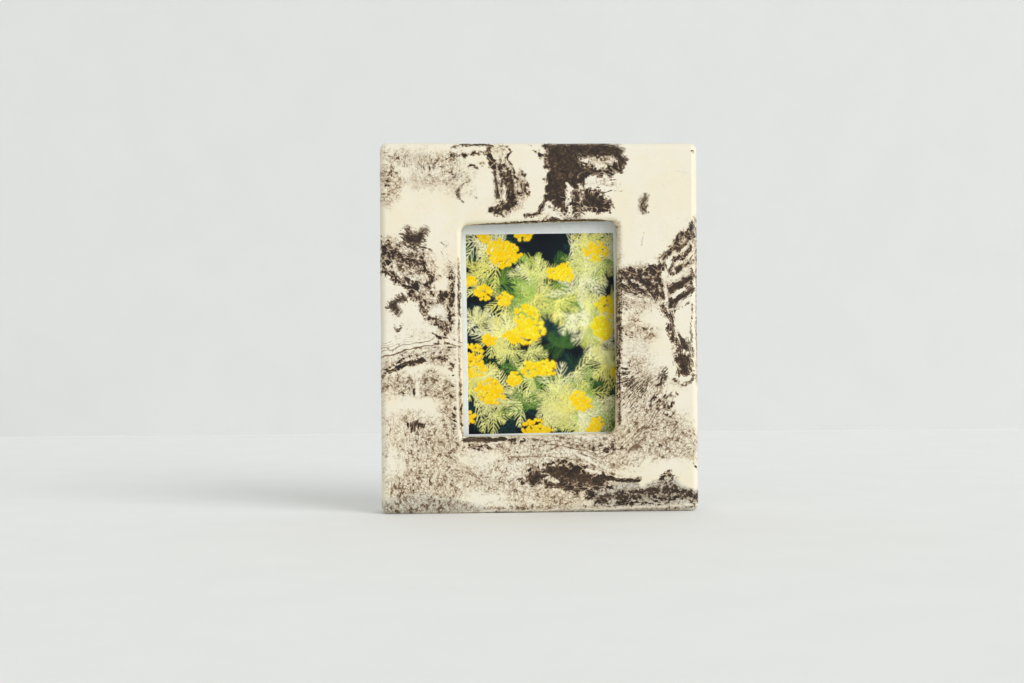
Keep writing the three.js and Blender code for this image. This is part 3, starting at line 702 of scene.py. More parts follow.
def wander(places):
    noise.seed_set(marbling["seed"])  # without it the drift differs from run to run
    rippleFrom = Vector(marbling["rippleFrom"])
    depthFrom = Vector(marbling["depthFrom"])
    windowMiddle = np.mean([z for x, z in windowCorners()])
    moved = np.empty((len(places), 2))
    for i, place in enumerate(places):  # the strata drift, and more so towards the back
        p = Vector(place)
        beside = abs(place[0]) - slab["windowWidth"] / 2
        above = abs(place[2] - windowMiddle) - slab["windowHeight"] / 2
        calm = min(max(max(beside, above) / marbling["rimReach"], marbling["rimCalm"]), 1)
        shift = noise.noise_vector(p / marbling["driftSize"]) * marbling["drift"]
        shift += noise.noise_vector(p / marbling["rippleSize"] + rippleFrom) * marbling["ripple"]
        deeper = noise.noise_vector(p / marbling["depthSize"] + depthFrom) * marbling["depthDrift"]
        shift += deeper * (place[1] - faceY)
        moved[i] = place[0] + shift.x * calm, place[2] + shift.z * calm
    moved /= faceGrid["step"]
    return moved[:, 0] + faceGrid["column"], faceGrid["row"] - moved[:, 1]


def coverOf(line, soft, columns, rows):
    cover = np.zeros(len(columns))
    for (x0, y0, r0), (x1, y1, r1) in zip(line, line[1:]):
        wide = max(r0, r1)
        blur = min(soft * (1 + marbling["spread"] * wide), marbling["widestSpread"] + soft / 2)
        reach = wide + blur
        near = (columns > min(x0, x1) - reach) & (columns < max(x0, x1) + reach)
        near &= (rows > min(y0, y1) - reach) & (rows < max(y0, y1) + reach)
        along, away, _ = toSegment((x0, y0), (x1, y1), columns[near], rows[near])
        edge = 0.5 + (r0 + (r1 - r0) * along - away) / blur
        cover[near] = np.maximum(cover[near], np.clip(edge, 0, 1))
    return cover


def layersOf(columns, rows):
    total = marbling["layCalm"] * (rows - faceGrid["row"])
    weight = np.full(len(rows), marbling["layCalm"])
    for reach, line in guides.values():
        nearest = np.full(len(rows), np.inf)
        across = np.zeros(len(rows))
        for start, end in zip(line, line[1:]):
            _, away, side = toSegment(start, end, columns, rows)
            closer = away < nearest
            nearest = np.where(closer, away, nearest)
            across = np.where(closer, np.copysign(away, side), across)
        pull = np.exp(-(nearest / reach) ** 2)
        total += pull * across
        weight += pull
    return total / weight * faceGrid["step"]


def paintSlab(mesh):
    count = len(mesh.vertices)
    places = np.empty(count * 3)
    mesh.vertices.foreach_get("co", places)
    columns, rows = wander(places.reshape(-1, 3) / mm)
    layers = {name: np.full(count, marbling["bare"]) for name in ("dark", "wash", "grey", "lined")}
    for clay, amount, soft, line, *echo in marks.values():
        copies, across, down = echo[0] if echo else (1, 0, 0)
        cover = np.zeros(count)
        for k in range(copies):
            shifted = [(x + k * across, y + k * down, r) for x, y, r in line]
            cover = np.maximum(cover, amount * coverOf(shifted, soft, columns, rows))
        if clay == "pale":
            for values in layers.values():
                values *= 1 - cover
        else:
            layers[clay] = np.maximum(layers[clay], cover)
    layers["strata"] = layersOf(columns, rows)
    for name, values in layers.items():
        layer = mesh.attributes.new(name + "Clay", "FLOAT", "POINT")
        layer.data.foreach_set("value", values)


# the clay's tones and grains: each rise says where a layer starts and where it is full
glaze = {
    "tones": [
        (0.0, colour(237, 231, 212)),
        (0.16, colour(219, 209, 187)),
        (0.36, colour(180, 163, 138)),
        (0.58, colour(120, 97, 71)),
        (0.8, colour(62, 43, 24)),
        (1.0, colour(26, 13, 3)),
    ],
    "plain": colour(255, 255, 255),
    "warm": colour(255, 251, 242),
    "cool": colour(226, 228, 232),
    "warmRise": (0.35, 0.7),
    "coolRise": (0.2, 0.8),
    "loose": {  # scale, detail, roughness
        "patchy": (160, 2.0, 0.5),
        "ragged": (430, 5.0, 0.68),
        "crumb": (1500, 3.0, 0.65),
    },
    "layered": {  # detail, roughness, scale across the layers, scale along them
        "flow": (4.0, 0.62, 1.0, 120),
        "worm": (3.0, 0.6, 0.7, 520),
        "curl": (1.5, 0.5, 0.55, 610),
        "tight": (1.5, 0.5, 0.8, 1050),
        "streak": (2.0, 0.5, 1.2, 240),
    },
    "depthShare": 0.8,  # how fast the grain changes through the slab
    "darkEdge": {"ragged": 0.8, "flow": 1.1, "worm": 1.7, "crumb": 1.1},
    "darkBody": {"flow": 0.6, "worm": 0.6, "crumb": 0.6},
    "veilEdge": {"patchy": 0.7, "ragged": 0.7, "flow": 0.9},
    "stainEdge": {"worm": 1.6, "crumb": 1.6},
    "netEdge": {"crumb": 0.8},
    "fleckEdge": {"worm": 1.7, "crumb": 1.7},
    "lineEdge": {"ragged": 1.2, "crumb": 1.0},
    "toneEdge": {"crumb": 0.06, "ragged": 0.05},
    "shown": (0.06, 0.3),
    "darkRise": (0.28, 0.72),
    "darkLeast": 0.88,
    "slit": {"grain": "streak", "width": (0.006, 0.04), "closed": (0.8, 1.1), "share": 0.6},
    "thread": {"grain": "curl", "width": (0.01, 0.065), "share": 0.42},
    "mesh": {"grain": "tight", "width": (0.01, 0.08), "share": 0.3},
    "netRise": (0.2, 0.7),
    "netDeep": 0.35,
    "deepRise": (0.95, 1.35),
    "thickRise": (1.4, 1.9),
    "veilMost": 0.78,
    "veilDeep": 0.3,
    "stainRise": (0.2, 1.05),
    "stain": 0.15,
    "stainDeep": 0.15,
    "stainThick": 0.3,
    "fleckRise": (0.55, 0.97),
    "fleckFrom": 0.85,
    "fleck": 0.64,
    "fleckDeep": 0.2,
    "lineRate": 7.6,
    "lineWaver": 7.0,
    "lineWidth": (0.6, 0.97),
    "lineRise": (0.25, 0.75),
    "line": 0.62,
    "roughness": 0.42,
    "specular": 0.22,
    "coat": 0.4,
    "coatRoughness": 0.09,
    "bump": (0.35, 0.00018),
}


def marbledGlaze():
    m = Recipe("marbled_glaze")
    apart = m.add("ShaderNodeSeparateXYZ", {}, {0: m.place()}).socket.node.outputs
    depth = (Wire(m, apart[1]) - faceY * mm) * glaze["depthShare"]
    x = Wire(m, apart[0]) + depth
    z = Wire(m, apart[2]) + depth
    strata = m.attribute("strataClay")
    grain = {name: m.noise(*settings) - 0.5 for name, settings in glaze["loose"].items()}
    for name, (detail, roughness, across, along) in glaze["layered"].items():
        place = m.add("ShaderNodeCombineXYZ", {}, {0: strata * across, 1: x * along, 2: z * along})
        grain[name] = m.noise(1, detail, roughness, place) - 0.5

    def stirred(base, edge):
        for name, share in glaze[edge].items():
            base = base + grain[name] * share
        return base

    def threads(line):  # thin lines where a grain crosses its middle
        across = m.sum("ABSOLUTE", grain[line["grain"]], 0.0)
        return (1.0 - m.rise(across, *line["width"])) * line["share"]

    clay = m.attribute("darkClay")
    # grey clay, and the painted shade along the foot's rounded bottom edge
    cold = m.attribute("greyClay")
    lined = m.attribute("linedClay")
    veil = m.sum("MAXIMUM", m.attribute("washClay"), cold)
    slit = threads(glaze["slit"]) * (1.0 - m.rise(clay, *glaze["slit"]["closed"]))
    dark = m.rise(stirred(clay, "darkEdge"), *glaze["darkRise"]) * m.rise(clay, *glaze["shown"])
    dark = dark * stirred(glaze["darkLeast"], "darkBody") * (1.0 - slit)
    deep = m.rise(veil, *glaze["deepRise"])
    thick = m.rise(veil, *glaze["thickRise"])
    most = glaze["veilMost"] + deep * glaze["veilDeep"]
    uneven = m.sum("MINIMUM", stirred(veil, "veilEdge"), most)
    stain = glaze["stain"] + deep * glaze["stainDeep"] + thick * glaze["stainThick"]
    stain = m.rise(stirred(uneven, "stainEdge"), *glaze["stainRise"]) * stain
    net = m.sum("MAXIMUM", threads(glaze["thread"]), threads(glaze["mesh"]))
    net = net * m.rise(stirred(uneven, "netEdge"), *glaze["netRise"]) * (1.0 + deep * glaze["netDeep"])
    fleck = m.rise(stirred(uneven * glaze["fleckFrom"], "fleckEdge"), *glaze["fleckRise"])
    fleck = fleck * (glaze["fleck"] + deep * glaze["fleckDeep"])
    fleck = m.sum("MAXIMUM", fleck, net) * m.rise(veil, *glaze["shown"])
    wave = m.sum("SINE", strata * glaze["lineRate"] + grain["flow"] * glaze["lineWaver"], 0.0)
    ridge = m.rise(wave, *glaze["lineWidth"]) * m.rise(stirred(lined, "lineEdge"), *glaze["lineRise"])
    pale = m.sum("MAXIMUM", stain, m.sum("MAXIMUM", fleck, ridge * glaze["line"]))
    tone = stirred(m.sum("MAXIMUM", dark, pale), "toneEdge")
    body = m.add("ShaderNodeValToRGB", {"stops": glaze["tones"]}, {"Fac": tone})
    tint = m.mottle(m.noise(70, 4.0, 0.6), glaze["plain"], glaze["warm"], *glaze["warmRise"])
    tint = m.mottle(cold, tint, glaze["cool"], *glaze["coolRise"])
    height = m.noise(420, 2.0) * 0.5 + grain["crumb"] * 0.25 - dark * 0.2
    return m.finish({
        "Base Color": m.blend(1.0, body, tint, "MULTIPLY"),
        "Roughness": glaze["roughness"] + dark * 0.1 + grain["crumb"] * 0.15,
        "Normal": m.bump(height, *glaze["bump"]),
        "Specular IOR Level": glaze["specular"],
        "Coat Weight": glaze["coat"],
        "Coat Roughness": glaze["coatRoughness"],
    })


ceramic = makePiece("marbled_slab", buildSlab(), [marbledGlaze()], "frame", "ceramic_frame")
carve(ceramic, socketDrill())
paintSlab(ceramic.data)
print("slab:", len(ceramic.data.polygons), "faces,", len(marks), "marks")


# the instant-film print, its wide border up
printSheet = {
    "width": 54.0,
    "height": 86.0,
    "turn": 0.6,
    "pictureWidth": 46.0,
    "pictureHeight": 62.0,
    "pictureDrop": 5.0,  # picture centre below the card's
    "pictureStep": 0.2,
    "borderStep": 0.05,
    "cornerRadius": 0.8,
    "cornerSteps": 4,
    "snap": 0.001,
    "backFrom": 0.9,  # share of the thickness
    "border": (colour(233, 238, 237), colour(227, 232, 230)),
    "grain": (colour(255, 255, 255), colour(236, 236, 236)),
    "back": (colour(26, 26, 28), colour(36, 36, 38)),
}
garden = {
    "seed": 31,
    "deepSprays": 40,
    "sprays": 165,
    "paleShare": 0.78,
    "bareBelow": -0.1,
    "driftSize": 7.5,
    "driftLevel": 4.2,
    "driftGrain": 3.0,
    "driftGrainShare": 0.3,
    "sprayLength": (5.5, 9.5),
    "fronds": 5,
    "fan": 2.9,
    "sway": 0.2,
    "frondLength": (0.7, 1.1),
    "frondShade": (0.75, 1),
    "frondBend": 0.6,
    "leaflets": 6,
    "leafletLength": 0.43,
    "leafletWidth": 0.15,
    "leafletLean": (0.55, 0.9),
    "leafletShade": (0.7, 1.1),
    "leafletCurl": 0.5,
    "leafletTip": 0.6,
    "leafletSwell": 0.7,
    "bladePieces": 3,
    "bladeTaper": 0.22,
    "heads": 22,
    "headSize": (1.7, 4.2),
    "headGap": 1.25,
    "headFlat": 0.8,
    "lumps": (1, 2, 2, 3),
    "florets": 26,
    "floretsAt": 1.6,  # the head size that has that many
    "floretSize": (0.34, 0.6),
    "rimShift": (0.08, -0.1),
    "lightShift": (-0.1, 0.12),
    "lightShare": 0.25,
    "lightSize": 0.4,
    "groundSize": 7.0,
    "groundLevel": 1.7,
    "sunPlace": (9.0, 3.0),
    "sunReach": 17.0,
    "sunGain": 0.3,
    # painted shade of the window's right wall on the picture: how far it reaches and how dark it gets
    "wallShadeReach": 7.0,  # from the right edge
    "wallShadeShare": 0.45,
    "softPasses": 5,
    "softShare": 0.75,
}
gardenInks = {
    "ground": (colour(6, 9, 14), colour(18, 34, 42)),
    "deep": (colour(40, 78, 46), colour(66, 106, 48), colour(30, 62, 62)),
    "mid": (colour(140, 176, 70), colour(172, 204, 96), colour(112, 152, 64), colour(196, 212, 100)),
    "pale": (colour(250, 248, 168), colour(252, 251, 200), colour(240, 242, 146), colour(246, 240, 130)),
    "petal": (colour(255, 218, 20), colour(255, 210, 8), colour(255, 226, 46)),
    "petalRim": (colour(244, 188, 4),),
    "petalLight": (colour(255, 238, 120),),
}


def onward(place, angle, length):
    return place[0] + math.cos(angle) * length, place[1] + math.sin(angle) * length


class Canvas:
    def __init__(self, width, height, step):
        self.columns = round(width / step)
        self.rows = round(height / step)
        x = np.linspace(-width / 2, width / 2, self.columns + 1)
        z = np.linspace(-height / 2, height / 2, self.rows + 1)
        self.x, self.z = np.meshgrid(x, z)
        self.step = step
        self.ink = np.zeros((self.rows + 1, self.columns + 1, 3))

    def lay(self, points, radius, awayFrom, ink):
        spans = []
        for axis, start in enumerate((self.x[0, 0], self.z[0, 0])):
            low = min(p[axis] for p in points) - radius - self.step - start
            high = max(p[axis] for p in points) + radius + self.step - start
            spans.append(slice(max(0, int(low / self.step)), max(0, int(high / self.step) + 2)))
        columns, rows = spans
        spot = self.ink[rows, columns]
        if spot.size:
            cover = (radius - awayFrom(self.x[rows, columns], self.z[rows, columns])) / self.step + 0.5
            self.ink[rows, columns] = spot + (ink - spot) * np.clip(cover, 0, 1)[..., None]

    def blade(self, start, angle, length, bend, width, ink):
        pieces = garden["bladePieces"]
        for k in range(pieces):
            end = onward(start, angle + bend * k / pieces, length / pieces)
            half = width * (1 - garden["bladeTaper"] * k)
            self.lay((start, end), half, lambda x, z: toSegment(start, end, x, z)[1], ink)
            start = end

    def disc(self, centre, radius, ink):
        self.lay((centre,), radius, lambda x, z: np.hypot(x - centre[0], z - centre[1]), ink)

    def frond(self, start, angle, length, ink, rng):
        pairs = garden["leaflets"]
        width = garden["leafletWidth"]
        bend = rng.uniform(-garden["frondBend"], garden["frondBend"])
        for k in range(pairs):
            a = angle + bend * k / pairs
            swell = math.sin(math.pi * (k + 1) / (pairs + garden["leafletTip"])) ** garden["leafletSwell"]
            reach = length * garden["leafletLength"] * swell
            for side in (-1, 1):
                lean = side * rng.uniform(*garden["leafletLean"])
                shade = np.minimum(ink * rng.uniform(*garden["leafletShade"]), 1)
                self.blade(start, a + lean, reach, -side * garden["leafletCurl"], width, shade)
            self.blade(start, a, length / pairs, 0, width, ink)
            start = onward(start, a, length / pairs)

    def spray(self, centre, length, ink, rng):
        heading = rng.uniform(0, 2 * math.pi)
        for k in range(garden["fronds"]):
            swing = (k / (garden["fronds"] - 1) - 0.5) * garden["fan"]
            swing += rng.uniform(-garden["sway"], garden["sway"])
            reach = length * rng.uniform(*garden["frondLength"])
            self.frond(centre, heading + swing, reach, ink * rng.uniform(*garden["frondShade"]), rng)

    def head(self, centre, size, inks, rng):
        flat = garden["headFlat"]

        def dot(place, shift, radius, ink):
            self.disc((place[0] + shift[0], place[1] + shift[1]), radius, ink)

        for _ in range(rng.choice(garden["lumps"])):  # lumps that grow together
            x = centre[0] + rng.uniform(-1, 1) * size
            z = centre[1] + rng.uniform(-flat, flat) * size
            for _ in range(round(garden["florets"] * size / garden["floretsAt"])):
                a, d = rng.uniform(0, 2 * math.pi), size * math.sqrt(rng.random())
                place = x + d * math.cos(a), z + flat * d * math.sin(a)
                wide = rng.uniform(*garden["floretSize"])
                dot(place, garden["rimShift"], wide, inks["petalRim"][0])
                dot(place, (0, 0), wide, rng.choice(inks["petal"]))
                if rng.random() < garden["lightShare"]:
                    dot(place, garden["lightShift"], wide * garden["lightSize"], inks["petalLight"][0])


def paintGarden():
    rng = random.Random(garden["seed"])
    canvas = Canvas(printSheet["pictureWidth"], printSheet["pictureHeight"], printSheet["pictureStep"])
    halfX, halfZ = printSheet["pictureWidth"] / 2, printSheet["pictureHeight"] / 2
    inks = {name: [np.array(tone[:3]) for tone in tones] for name, tones in gardenInks.items()}
    for r in range(canvas.rows + 1):
        for c in range(canvas.columns + 1):
            p = Vector((canvas.x[r, c], canvas.z[r, c], garden["groundLevel"]))
            cloud = noise.noise(p / garden["groundSize"]) * 0.5 + 0.5
            canvas.ink[r, c] = inks["ground"][0] * (1 - cloud) + inks["ground"][1] * cloud

    def spot():
        return rng.uniform(-halfX, halfX), rng.uniform(-halfZ, halfZ)

    def lush(place):  # foliage grows in drifts and leaves dark gaps
        p = Vector((*place, garden["driftLevel"]))
        fine = garden["driftGrainShare"] * noise.noise(p / garden["driftGrain"])
        return noise.noise(p / garden["driftSize"]) + fine

    for k in range(garden["deepSprays"] + garden["sprays"]):
        place = spot()
        leaf = "deep" if k < garden["deepSprays"] else "pale" if rng.random() < garden["paleShare"] else "mid"
        if leaf == "deep" or lush(place) > garden["bareBelow"]:
            canvas.spray(place, rng.uniform(*garden["sprayLength"]), rng.choice(inks[leaf]), rng)
    heads = []
    while len(heads) < garden["heads"]:
        place, size = spot(), rng.uniform(*garden["headSize"])
        if all(math.dist(place, other) > garden["headGap"] * (size + wide) for other, wide in heads):
            heads.append((place, size))
            canvas.head(place, size, inks, rng)
    sunX, sunZ = garden["sunPlace"]
    reach = np.hypot(canvas.x - sunX, canvas.z - sunZ) / garden["sunReach"]
    sun = np.exp(-reach ** 2)[..., None]
    soft = canvas.ink
    for _ in range(garden["softPasses"]):
        grown = np.pad(soft, ((1, 1), (1, 1), (0, 0)), mode="edge")
        soft = (grown[2:, 1:-1] + grown[:-2, 1:-1] + grown[1:-1, 2:] + grown[1:-1, :-2] + 2 * soft) / 6
    canvas.ink = canvas.ink + (soft - canvas.ink) * sun * garden["softShare"]
    canvas.ink *= 1 + garden["sunGain"] * sun
    # painted shade: the picture darkens toward its right edge, where the window's right wall shades it
    inward = np.clip((halfX - canvas.x) / garden["wallShadeReach"], 0, 1)[..., None]
    canvas.ink = np.minimum(canvas.ink, 1) * (1 - garden["wallShadeShare"] * (1 - inward) ** 2)
    return canvas


def buildPrint(canvas):
    low, high = boxOf("instant_print")
    thickness = high[1] - low[1]
    halfW, halfH = printSheet["width"] / 2, printSheet["height"] / 2
    halfPicture = printSheet["pictureWidth"] / 2
    top = printSheet["pictureHeight"] / 2 - printSheet["pictureDrop"]
    foot = -printSheet["pictureHeight"] / 2 - printSheet["pictureDrop"]
    step, snap = printSheet["borderStep"], printSheet["snap"]
    bm = bmesh.new()
    bmesh.ops.create_grid(bm, x_segments=canvas.columns, y_segments=canvas.rows, size=1)
    paint = bm.verts.layers.float_color.new("ink")
    film = bm.verts.layers.float.new("film")
    for vert in bm.verts:
        c, r = gridPlace(vert, canvas.columns, canvas.rows)
        vert[paint] = (*canvas.ink[r, c], 1)
        vert[film] = 1
        vert.co = (canvas.x[r, c], 0, canvas.z[r, c] - printSheet["pictureDrop"])

    def rim():
        return [edge for edge in bm.edges if edge.is_boundary]

    def toBorder(vert):
        vert.co.x += math.copysign(step, vert.co.x) if abs(vert.co.x) > halfPicture - snap else 0
        vert.co.z += step if vert.co.z > top - snap else -step if vert.co.z < foot + snap else 0
        vert.co.y -= step

    def toCardEdge(vert):
        onSide = abs(vert.co.x) > halfPicture + step / 2
        onEnd = vert.co.z > top + step / 2 or vert.co.z < foot - step / 2
        span = vert.co.z - (top + foot) / 2
        vert.co.x = math.copysign(halfW, vert.co.x) if onSide else vert.co.x * halfW / halfPicture
        if onEnd:
            vert.co.z = math.copysign(halfH, span)
        else:
            vert.co.z = span * printSheet["height"] / printSheet["pictureHeight"]

    def toBack(vert):
        vert.co.y += thickness

    def atCorner(vert):
        return abs(abs(vert.co.x) - halfW) < snap and abs(abs(vert.co.z) - halfH) < snap

    for move in (toBorder, toCardEdge, toBack):
        for vert in vertsOf(bmesh.ops.extrude_edge_only(bm, edges=rim())["geom"]):
            vert[film] = 0
            move(vert)
    bmesh.ops.holes_fill(bm, edges=rim(), sides=0)
    upright = [edge for edge in bm.edges if all(atCorner(vert) for vert in edge.verts)]
    bmesh.ops.bevel(bm, geom=upright, offset=printSheet["cornerRadius"], segments=printSheet["cornerSteps"],
                    profile=0.5, affect="EDGES", material=-1)
    bmesh.ops.recalc_face_normals(bm, faces=bm.faces)
    for face in bm.faces:
        face.material_index = 1 if face.calc_center_median().y > thickness * printSheet["backFrom"] else 0
    centre = (low + high) / 2
    place = Matrix.Translation(Vector((centre[0], low[1] + step, centre[2])) * mm)
    place = place @ Matrix.Rotation(math.radians(-printSheet["turn"]), 4, "Y") @ Matrix.Scale(mm, 4)
    bmesh.ops.transform(bm, matrix=place, verts=bm.verts)
    return bm


def printFilm():
    m = Recipe("instant_film")
    film = m.rise(m.attribute("film"), 0.3, 0.7)
    tone = m.noise(900, 3.0)
    border = m.mottle(tone, *printSheet["border"])
    grain = m.mottle(m.noise(5200, 2.0), *printSheet["grain"])
    picture = m.blend(1.0, m.attribute("ink", "Color"), grain, "MULTIPLY")
    return m.finish({
        "Base Color": m.blend(film, border, picture),
        "Roughness": m.rise(film, 0, 1, 0.42, 0.3) + tone * 0.05,
        "Normal": m.bump(m.noise(1500, 2.0), 0.06, 0.0001),
        "Specular IOR Level": 0.14,
    })


def printBack():
    m = Recipe("instant_film_back")
    tone = m.noise(500, 3.0)
    return m.finish({
        "Base Color": m.mottle(tone, *printSheet["back"]),
        "Roughness": 0.5 + tone * 0.15,
        "Normal": m.bump(m.noise(2600, 2.0), 0.1, 0.0001),
    })


bm = buildPrint(paintGarden())
printCard = makePiece("instant_print_card", bm, [printFilm(), printBack()], "frame", "instant_print")
print("print:", len(printCard.data.polygons), "faces")


# brass turn buttons, their screws and the rear bumpers
brassware = {
    "hub": 4.2,
    "tip": 2.4,
    "tipShare": 0.65,  # of the outline's front half
    "reach": 10.0,
    "hole": 1.45,
    "thickness": 1.0,
    "rise": 1.6,
    "riseEase": 0.6,
    "bendFrom": 8.2,
    "rim": 0.2,
    "rimSteps": 3,
    "rimFrom": 1.2,  # radians between two faces
    "crease": 50.0,
    "sides": 72,
    "rings": 9,
    "headRadius": 2.6,
    "headHeight": 1.6,
    "headSide": 0.55,
    "headArris": 0.12,
    "dome": 0.38,  # share of the head's radius
    "domeSteps": 8,
    "shankRadius": 1.2,
    "point": 0.4,  # share of the shank's radius
    "threadTurns": 9,
    "threadPitch": 0.45,
    "threadDepth": 0.18,
    "threadCrest": 0.08,
    "threadRoot": 0.27,
    "slotWidth": 0.7,
    "slotDepth": 0.8,
    "slotTurn": 35.0,
    "screwSides": 56,
    "weld": 0.00001,
    "tones": (colour(206, 172, 98), colour(188, 152, 80)),
    "tarnish": colour(142, 108, 58),
    "tarnishShare": 0.6,
    "insertArris": 0.08,
}
bumper = {
    "radius": 4.75,
    "face": 3.2,
    "height": 3.8,
    "arris": 0.15,
    "wallShare": 0.25,
    "pull": (0.95, 0.9),  # shares of radius and height that the round shoulder leans to
    "steps": 12,
    "sides": 64,
    "tones": (colour(214, 216, 212), colour(198, 201, 197)),
}
board = {
    "arris": 0.25,
    "fibre": (2600, 900, 500),
    "fibreTurns": (0.55, -0.95),
    "tones": (colour(136, 101, 67), colour(101, 70, 44)),
    "fleck": colour(70, 46, 28),
    "fleckShare": 0.5,
}
filler = {
    "arris": 0.15,
    "tones": (colour(178, 166, 146), colour(158, 146, 126)),
    "fleck": colour(112, 100, 84),
    "fleckShare": 0.5,
}


def satinBrass():
    m = Recipe("satin_brass")
    brushed = m.noise(900, 3.0, 0.6, m.stretched((1, 1, 14)))
    tarnish = m.rise(m.noise(240, 4.0, 0.6), 0.45, 0.75)
    metal = m.mottle(brushed, *brassware["tones"])
    return m.finish({
        "Base Color": m.blend(tarnish * brassware["tarnishShare"], metal, brassware["tarnish"]),
        "Metallic": 1.0,
        "Roughness": 0.28 + brushed * 0.14 + tarnish * 0.12,
        "Normal": m.bump(brushed, 0.12, 0.00008),
    })


def softClear():
    m = Recipe("soft_clear_bumper")
    cloud = m.noise(300, 3.0)
    return m.finish({
        "Base Color": m.mottle(cloud, *bumper["tones"]),
        "Roughness": 0.32 + cloud * 0.12,
        "Normal": m.bump(m.noise(1400, 2.0), 0.08, 0.0001),
        "Subsurface Weight": 0.25,
        "Subsurface Radius": (0.002, 0.002, 0.002),
    })


def hardboard():
    m = Recipe("brown_hardboard")
    places = [m.stretched(board["fibre"], (0, turn, 0)) for turn in board["fibreTurns"]]
    lean, cross = [m.noise(1, 3.0, 0.6, place) for place in places]
    matted = (lean + cross) * 0.5
    cloud = m.noise(90, 3.0) - 0.5
    fleck = m.rise(m.noise(1700, 3.0, 0.7), 0.58, 0.72)
    wood = m.mottle(matted + cloud * 0.3, *board["tones"], 0.38, 0.62)
    return m.finish({
        "Base Color": m.blend(fleck * board["fleckShare"], wood, board["fleck"]),
        "Roughness": 0.5 + matted * 0.25,
        "Normal": m.bump(matted + fleck * 0.2, 0.3, 0.00012),
    })


def greyCard():
    m = Recipe("grey_card")
    pulp = m.noise(900, 4.0, 0.7)
    fleck = m.rise(m.noise(2200, 2.0), 0.62, 0.72)
    paper = m.mottle(pulp, *filler["tones"])
    return m.finish({
        "Base Color": m.blend(fleck * filler["fleckShare"], paper, filler["fleck"]),
        "Roughness": 0.85 + pulp * 0.1,
        "Normal": m.bump(pulp, 0.25, 0.0001),
    })


def spun(profile, steps):
    bm = bmesh.new()
    verts = [bm.verts.new((radius, y, 0)) for radius, y in profile]
    edges = [bm.edges.new(pair) for pair in zip(verts, verts[1:])]
    bmesh.ops.spin(bm, geom=verts + edges, cent=(0, 0, 0), axis=(0, 1, 0), angle=2 * math.pi, steps=steps,
                   use_merge=True)
    bmesh.ops.remove_doubles(bm, verts=bm.verts, dist=brassware["weld"])
    bmesh.ops.recalc_face_normals(bm, faces=bm.faces)
    return bm


def buildButton(pivot):
    hub, tip, reach = brassware["hub"], brassware["tip"], brassware["reach"]
    tipShare, sides = brassware["tipShare"], brassware["sides"]
    front = math.pi / 2 - math.asin((hub - tip) / reach)

    def onCircle(x, radius, angle):
        return Vector((x + radius * math.cos(angle), radius * math.sin(angle), 0))

    bm = bmesh.new()
    rim = bmesh.ops.create_circle(bm, segments=sides, radius=1)["verts"]
    bmesh.ops.create_circle(bm, segments=sides, radius=brassware["hole"])
    for vert in rim:  # a round hub that tapers to a round finger tip
        angle = math.atan2(vert.co.y, vert.co.x)
        share = abs(angle) / front
        if share > 1:
            vert.co = onCircle(0, hub, angle)
        elif share < tipShare:
            vert.co = onCircle(reach, tip, angle / tipShare)
        else:
            turn = math.copysign(front, angle)
            along = (share - tipShare) / (1 - tipShare)
            vert.co = onCircle(reach, tip, turn).lerp(onCircle(0, hub, turn), along)
    bmesh.ops.bridge_loops(bm, edges=bm.edges)
    rings = [edge for edge in bm.edges if not edge.is_boundary]
    bmesh.ops.subdivide_edges(bm, edges=rings, cuts=brassware["rings"], use_grid_fill=True)
    bmesh.ops.recalc_face_normals(bm, faces=bm.faces)
    lifted = vertsOf(bmesh.ops.extrude_face_region(bm, geom=bm.faces[:])["geom"])
    bmesh.ops.translate(bm, verts=lifted, vec=(0, 0, brassware["thickness"]))
    bmesh.ops.recalc_face_normals(bm, faces=bm.faces)
    sharp = [edge for edge in bm.edges if edge.is_manifold and edge.calc_face_angle() > brassware["rimFrom"]]
    bmesh.ops.bevel(bm, geom=sharp, offset=brassware["rim"], segments=brassware["rimSteps"], profile=0.5,
                    affect="EDGES", material=-1)
    run = reach + tip - brassware["bendFrom"]
    for vert in bm.verts:
        t = max(0.0, (vert.co.x - brassware["bendFrom"]) / run)
        vert.co.z += brassware["rise"] * t * t * (1 + brassware["riseEase"] * (1 - t))
    smoothByAngle(bm, brassware["crease"])
    place = Matrix.Translation(pivot) @ Matrix.Rotation(math.pi if pivot.x > 0 else 0, 4, "Y")
    upright = Matrix.Rotation(-math.pi / 2, 4, "X")
    bmesh.ops.transform(bm, matrix=place @ upright @ Matrix.Scale(mm, 4), verts=bm.verts)
    return bm


def buildScrew(end, crown):
    head, shank = brassware["headRadius"], brassware["shankRadius"]
    under = crown - brassware["headHeight"]
    threadFrom = end + shank * brassware["point"]
    profile = [(0, end), (shank * (1 - brassware["point"]), end), (shank, threadFrom)]
    for k in range(brassware["threadTurns"]):  # a rolled thread below the plain shank
        y = threadFrom + brassware["threadPitch"] * k
        profile.append((shank, y + brassware["threadCrest"]))
        profile.append((shank - brassware["threadDepth"], y + brassware["threadRoot"]))
    arris = brassware["headArris"]
    profile.append((shank, threadFrom + brassware["threadPitch"] * brassware["threadTurns"]))
    profile += [(shank, under), (head - arris, under), (head, under + arris)]
    domeFrom = under + brassware["headSide"]
    for k in range(brassware["domeSteps"] + 1):
        a = math.pi / 2 * k / brassware["domeSteps"]
        radius = head * (1 - brassware["dome"] + brassware["dome"] * math.cos(a))
        profile.append((radius, domeFrom + (crown - domeFrom) * math.sin(a)))
    profile.append((0, crown))
    return spun(profile, brassware["screwSides"])


def slotCutter(crown, turn):
    bm = bmesh.new()
    bmesh.ops.create_cube(bm, size=1)
    length, height = 4 * brassware["headRadius"], 2 * brassware["slotDepth"]
    size = Matrix.Diagonal((length, height, brassware["slotWidth"], 1))
    bmesh.ops.transform(bm, matrix=Matrix.Rotation(turn, 4, "Y") @ size, verts=bm.verts)
    bmesh.ops.translate(bm, verts=bm.verts, vec=(0, crown, 0))
    return looseMesh("slot", bm)


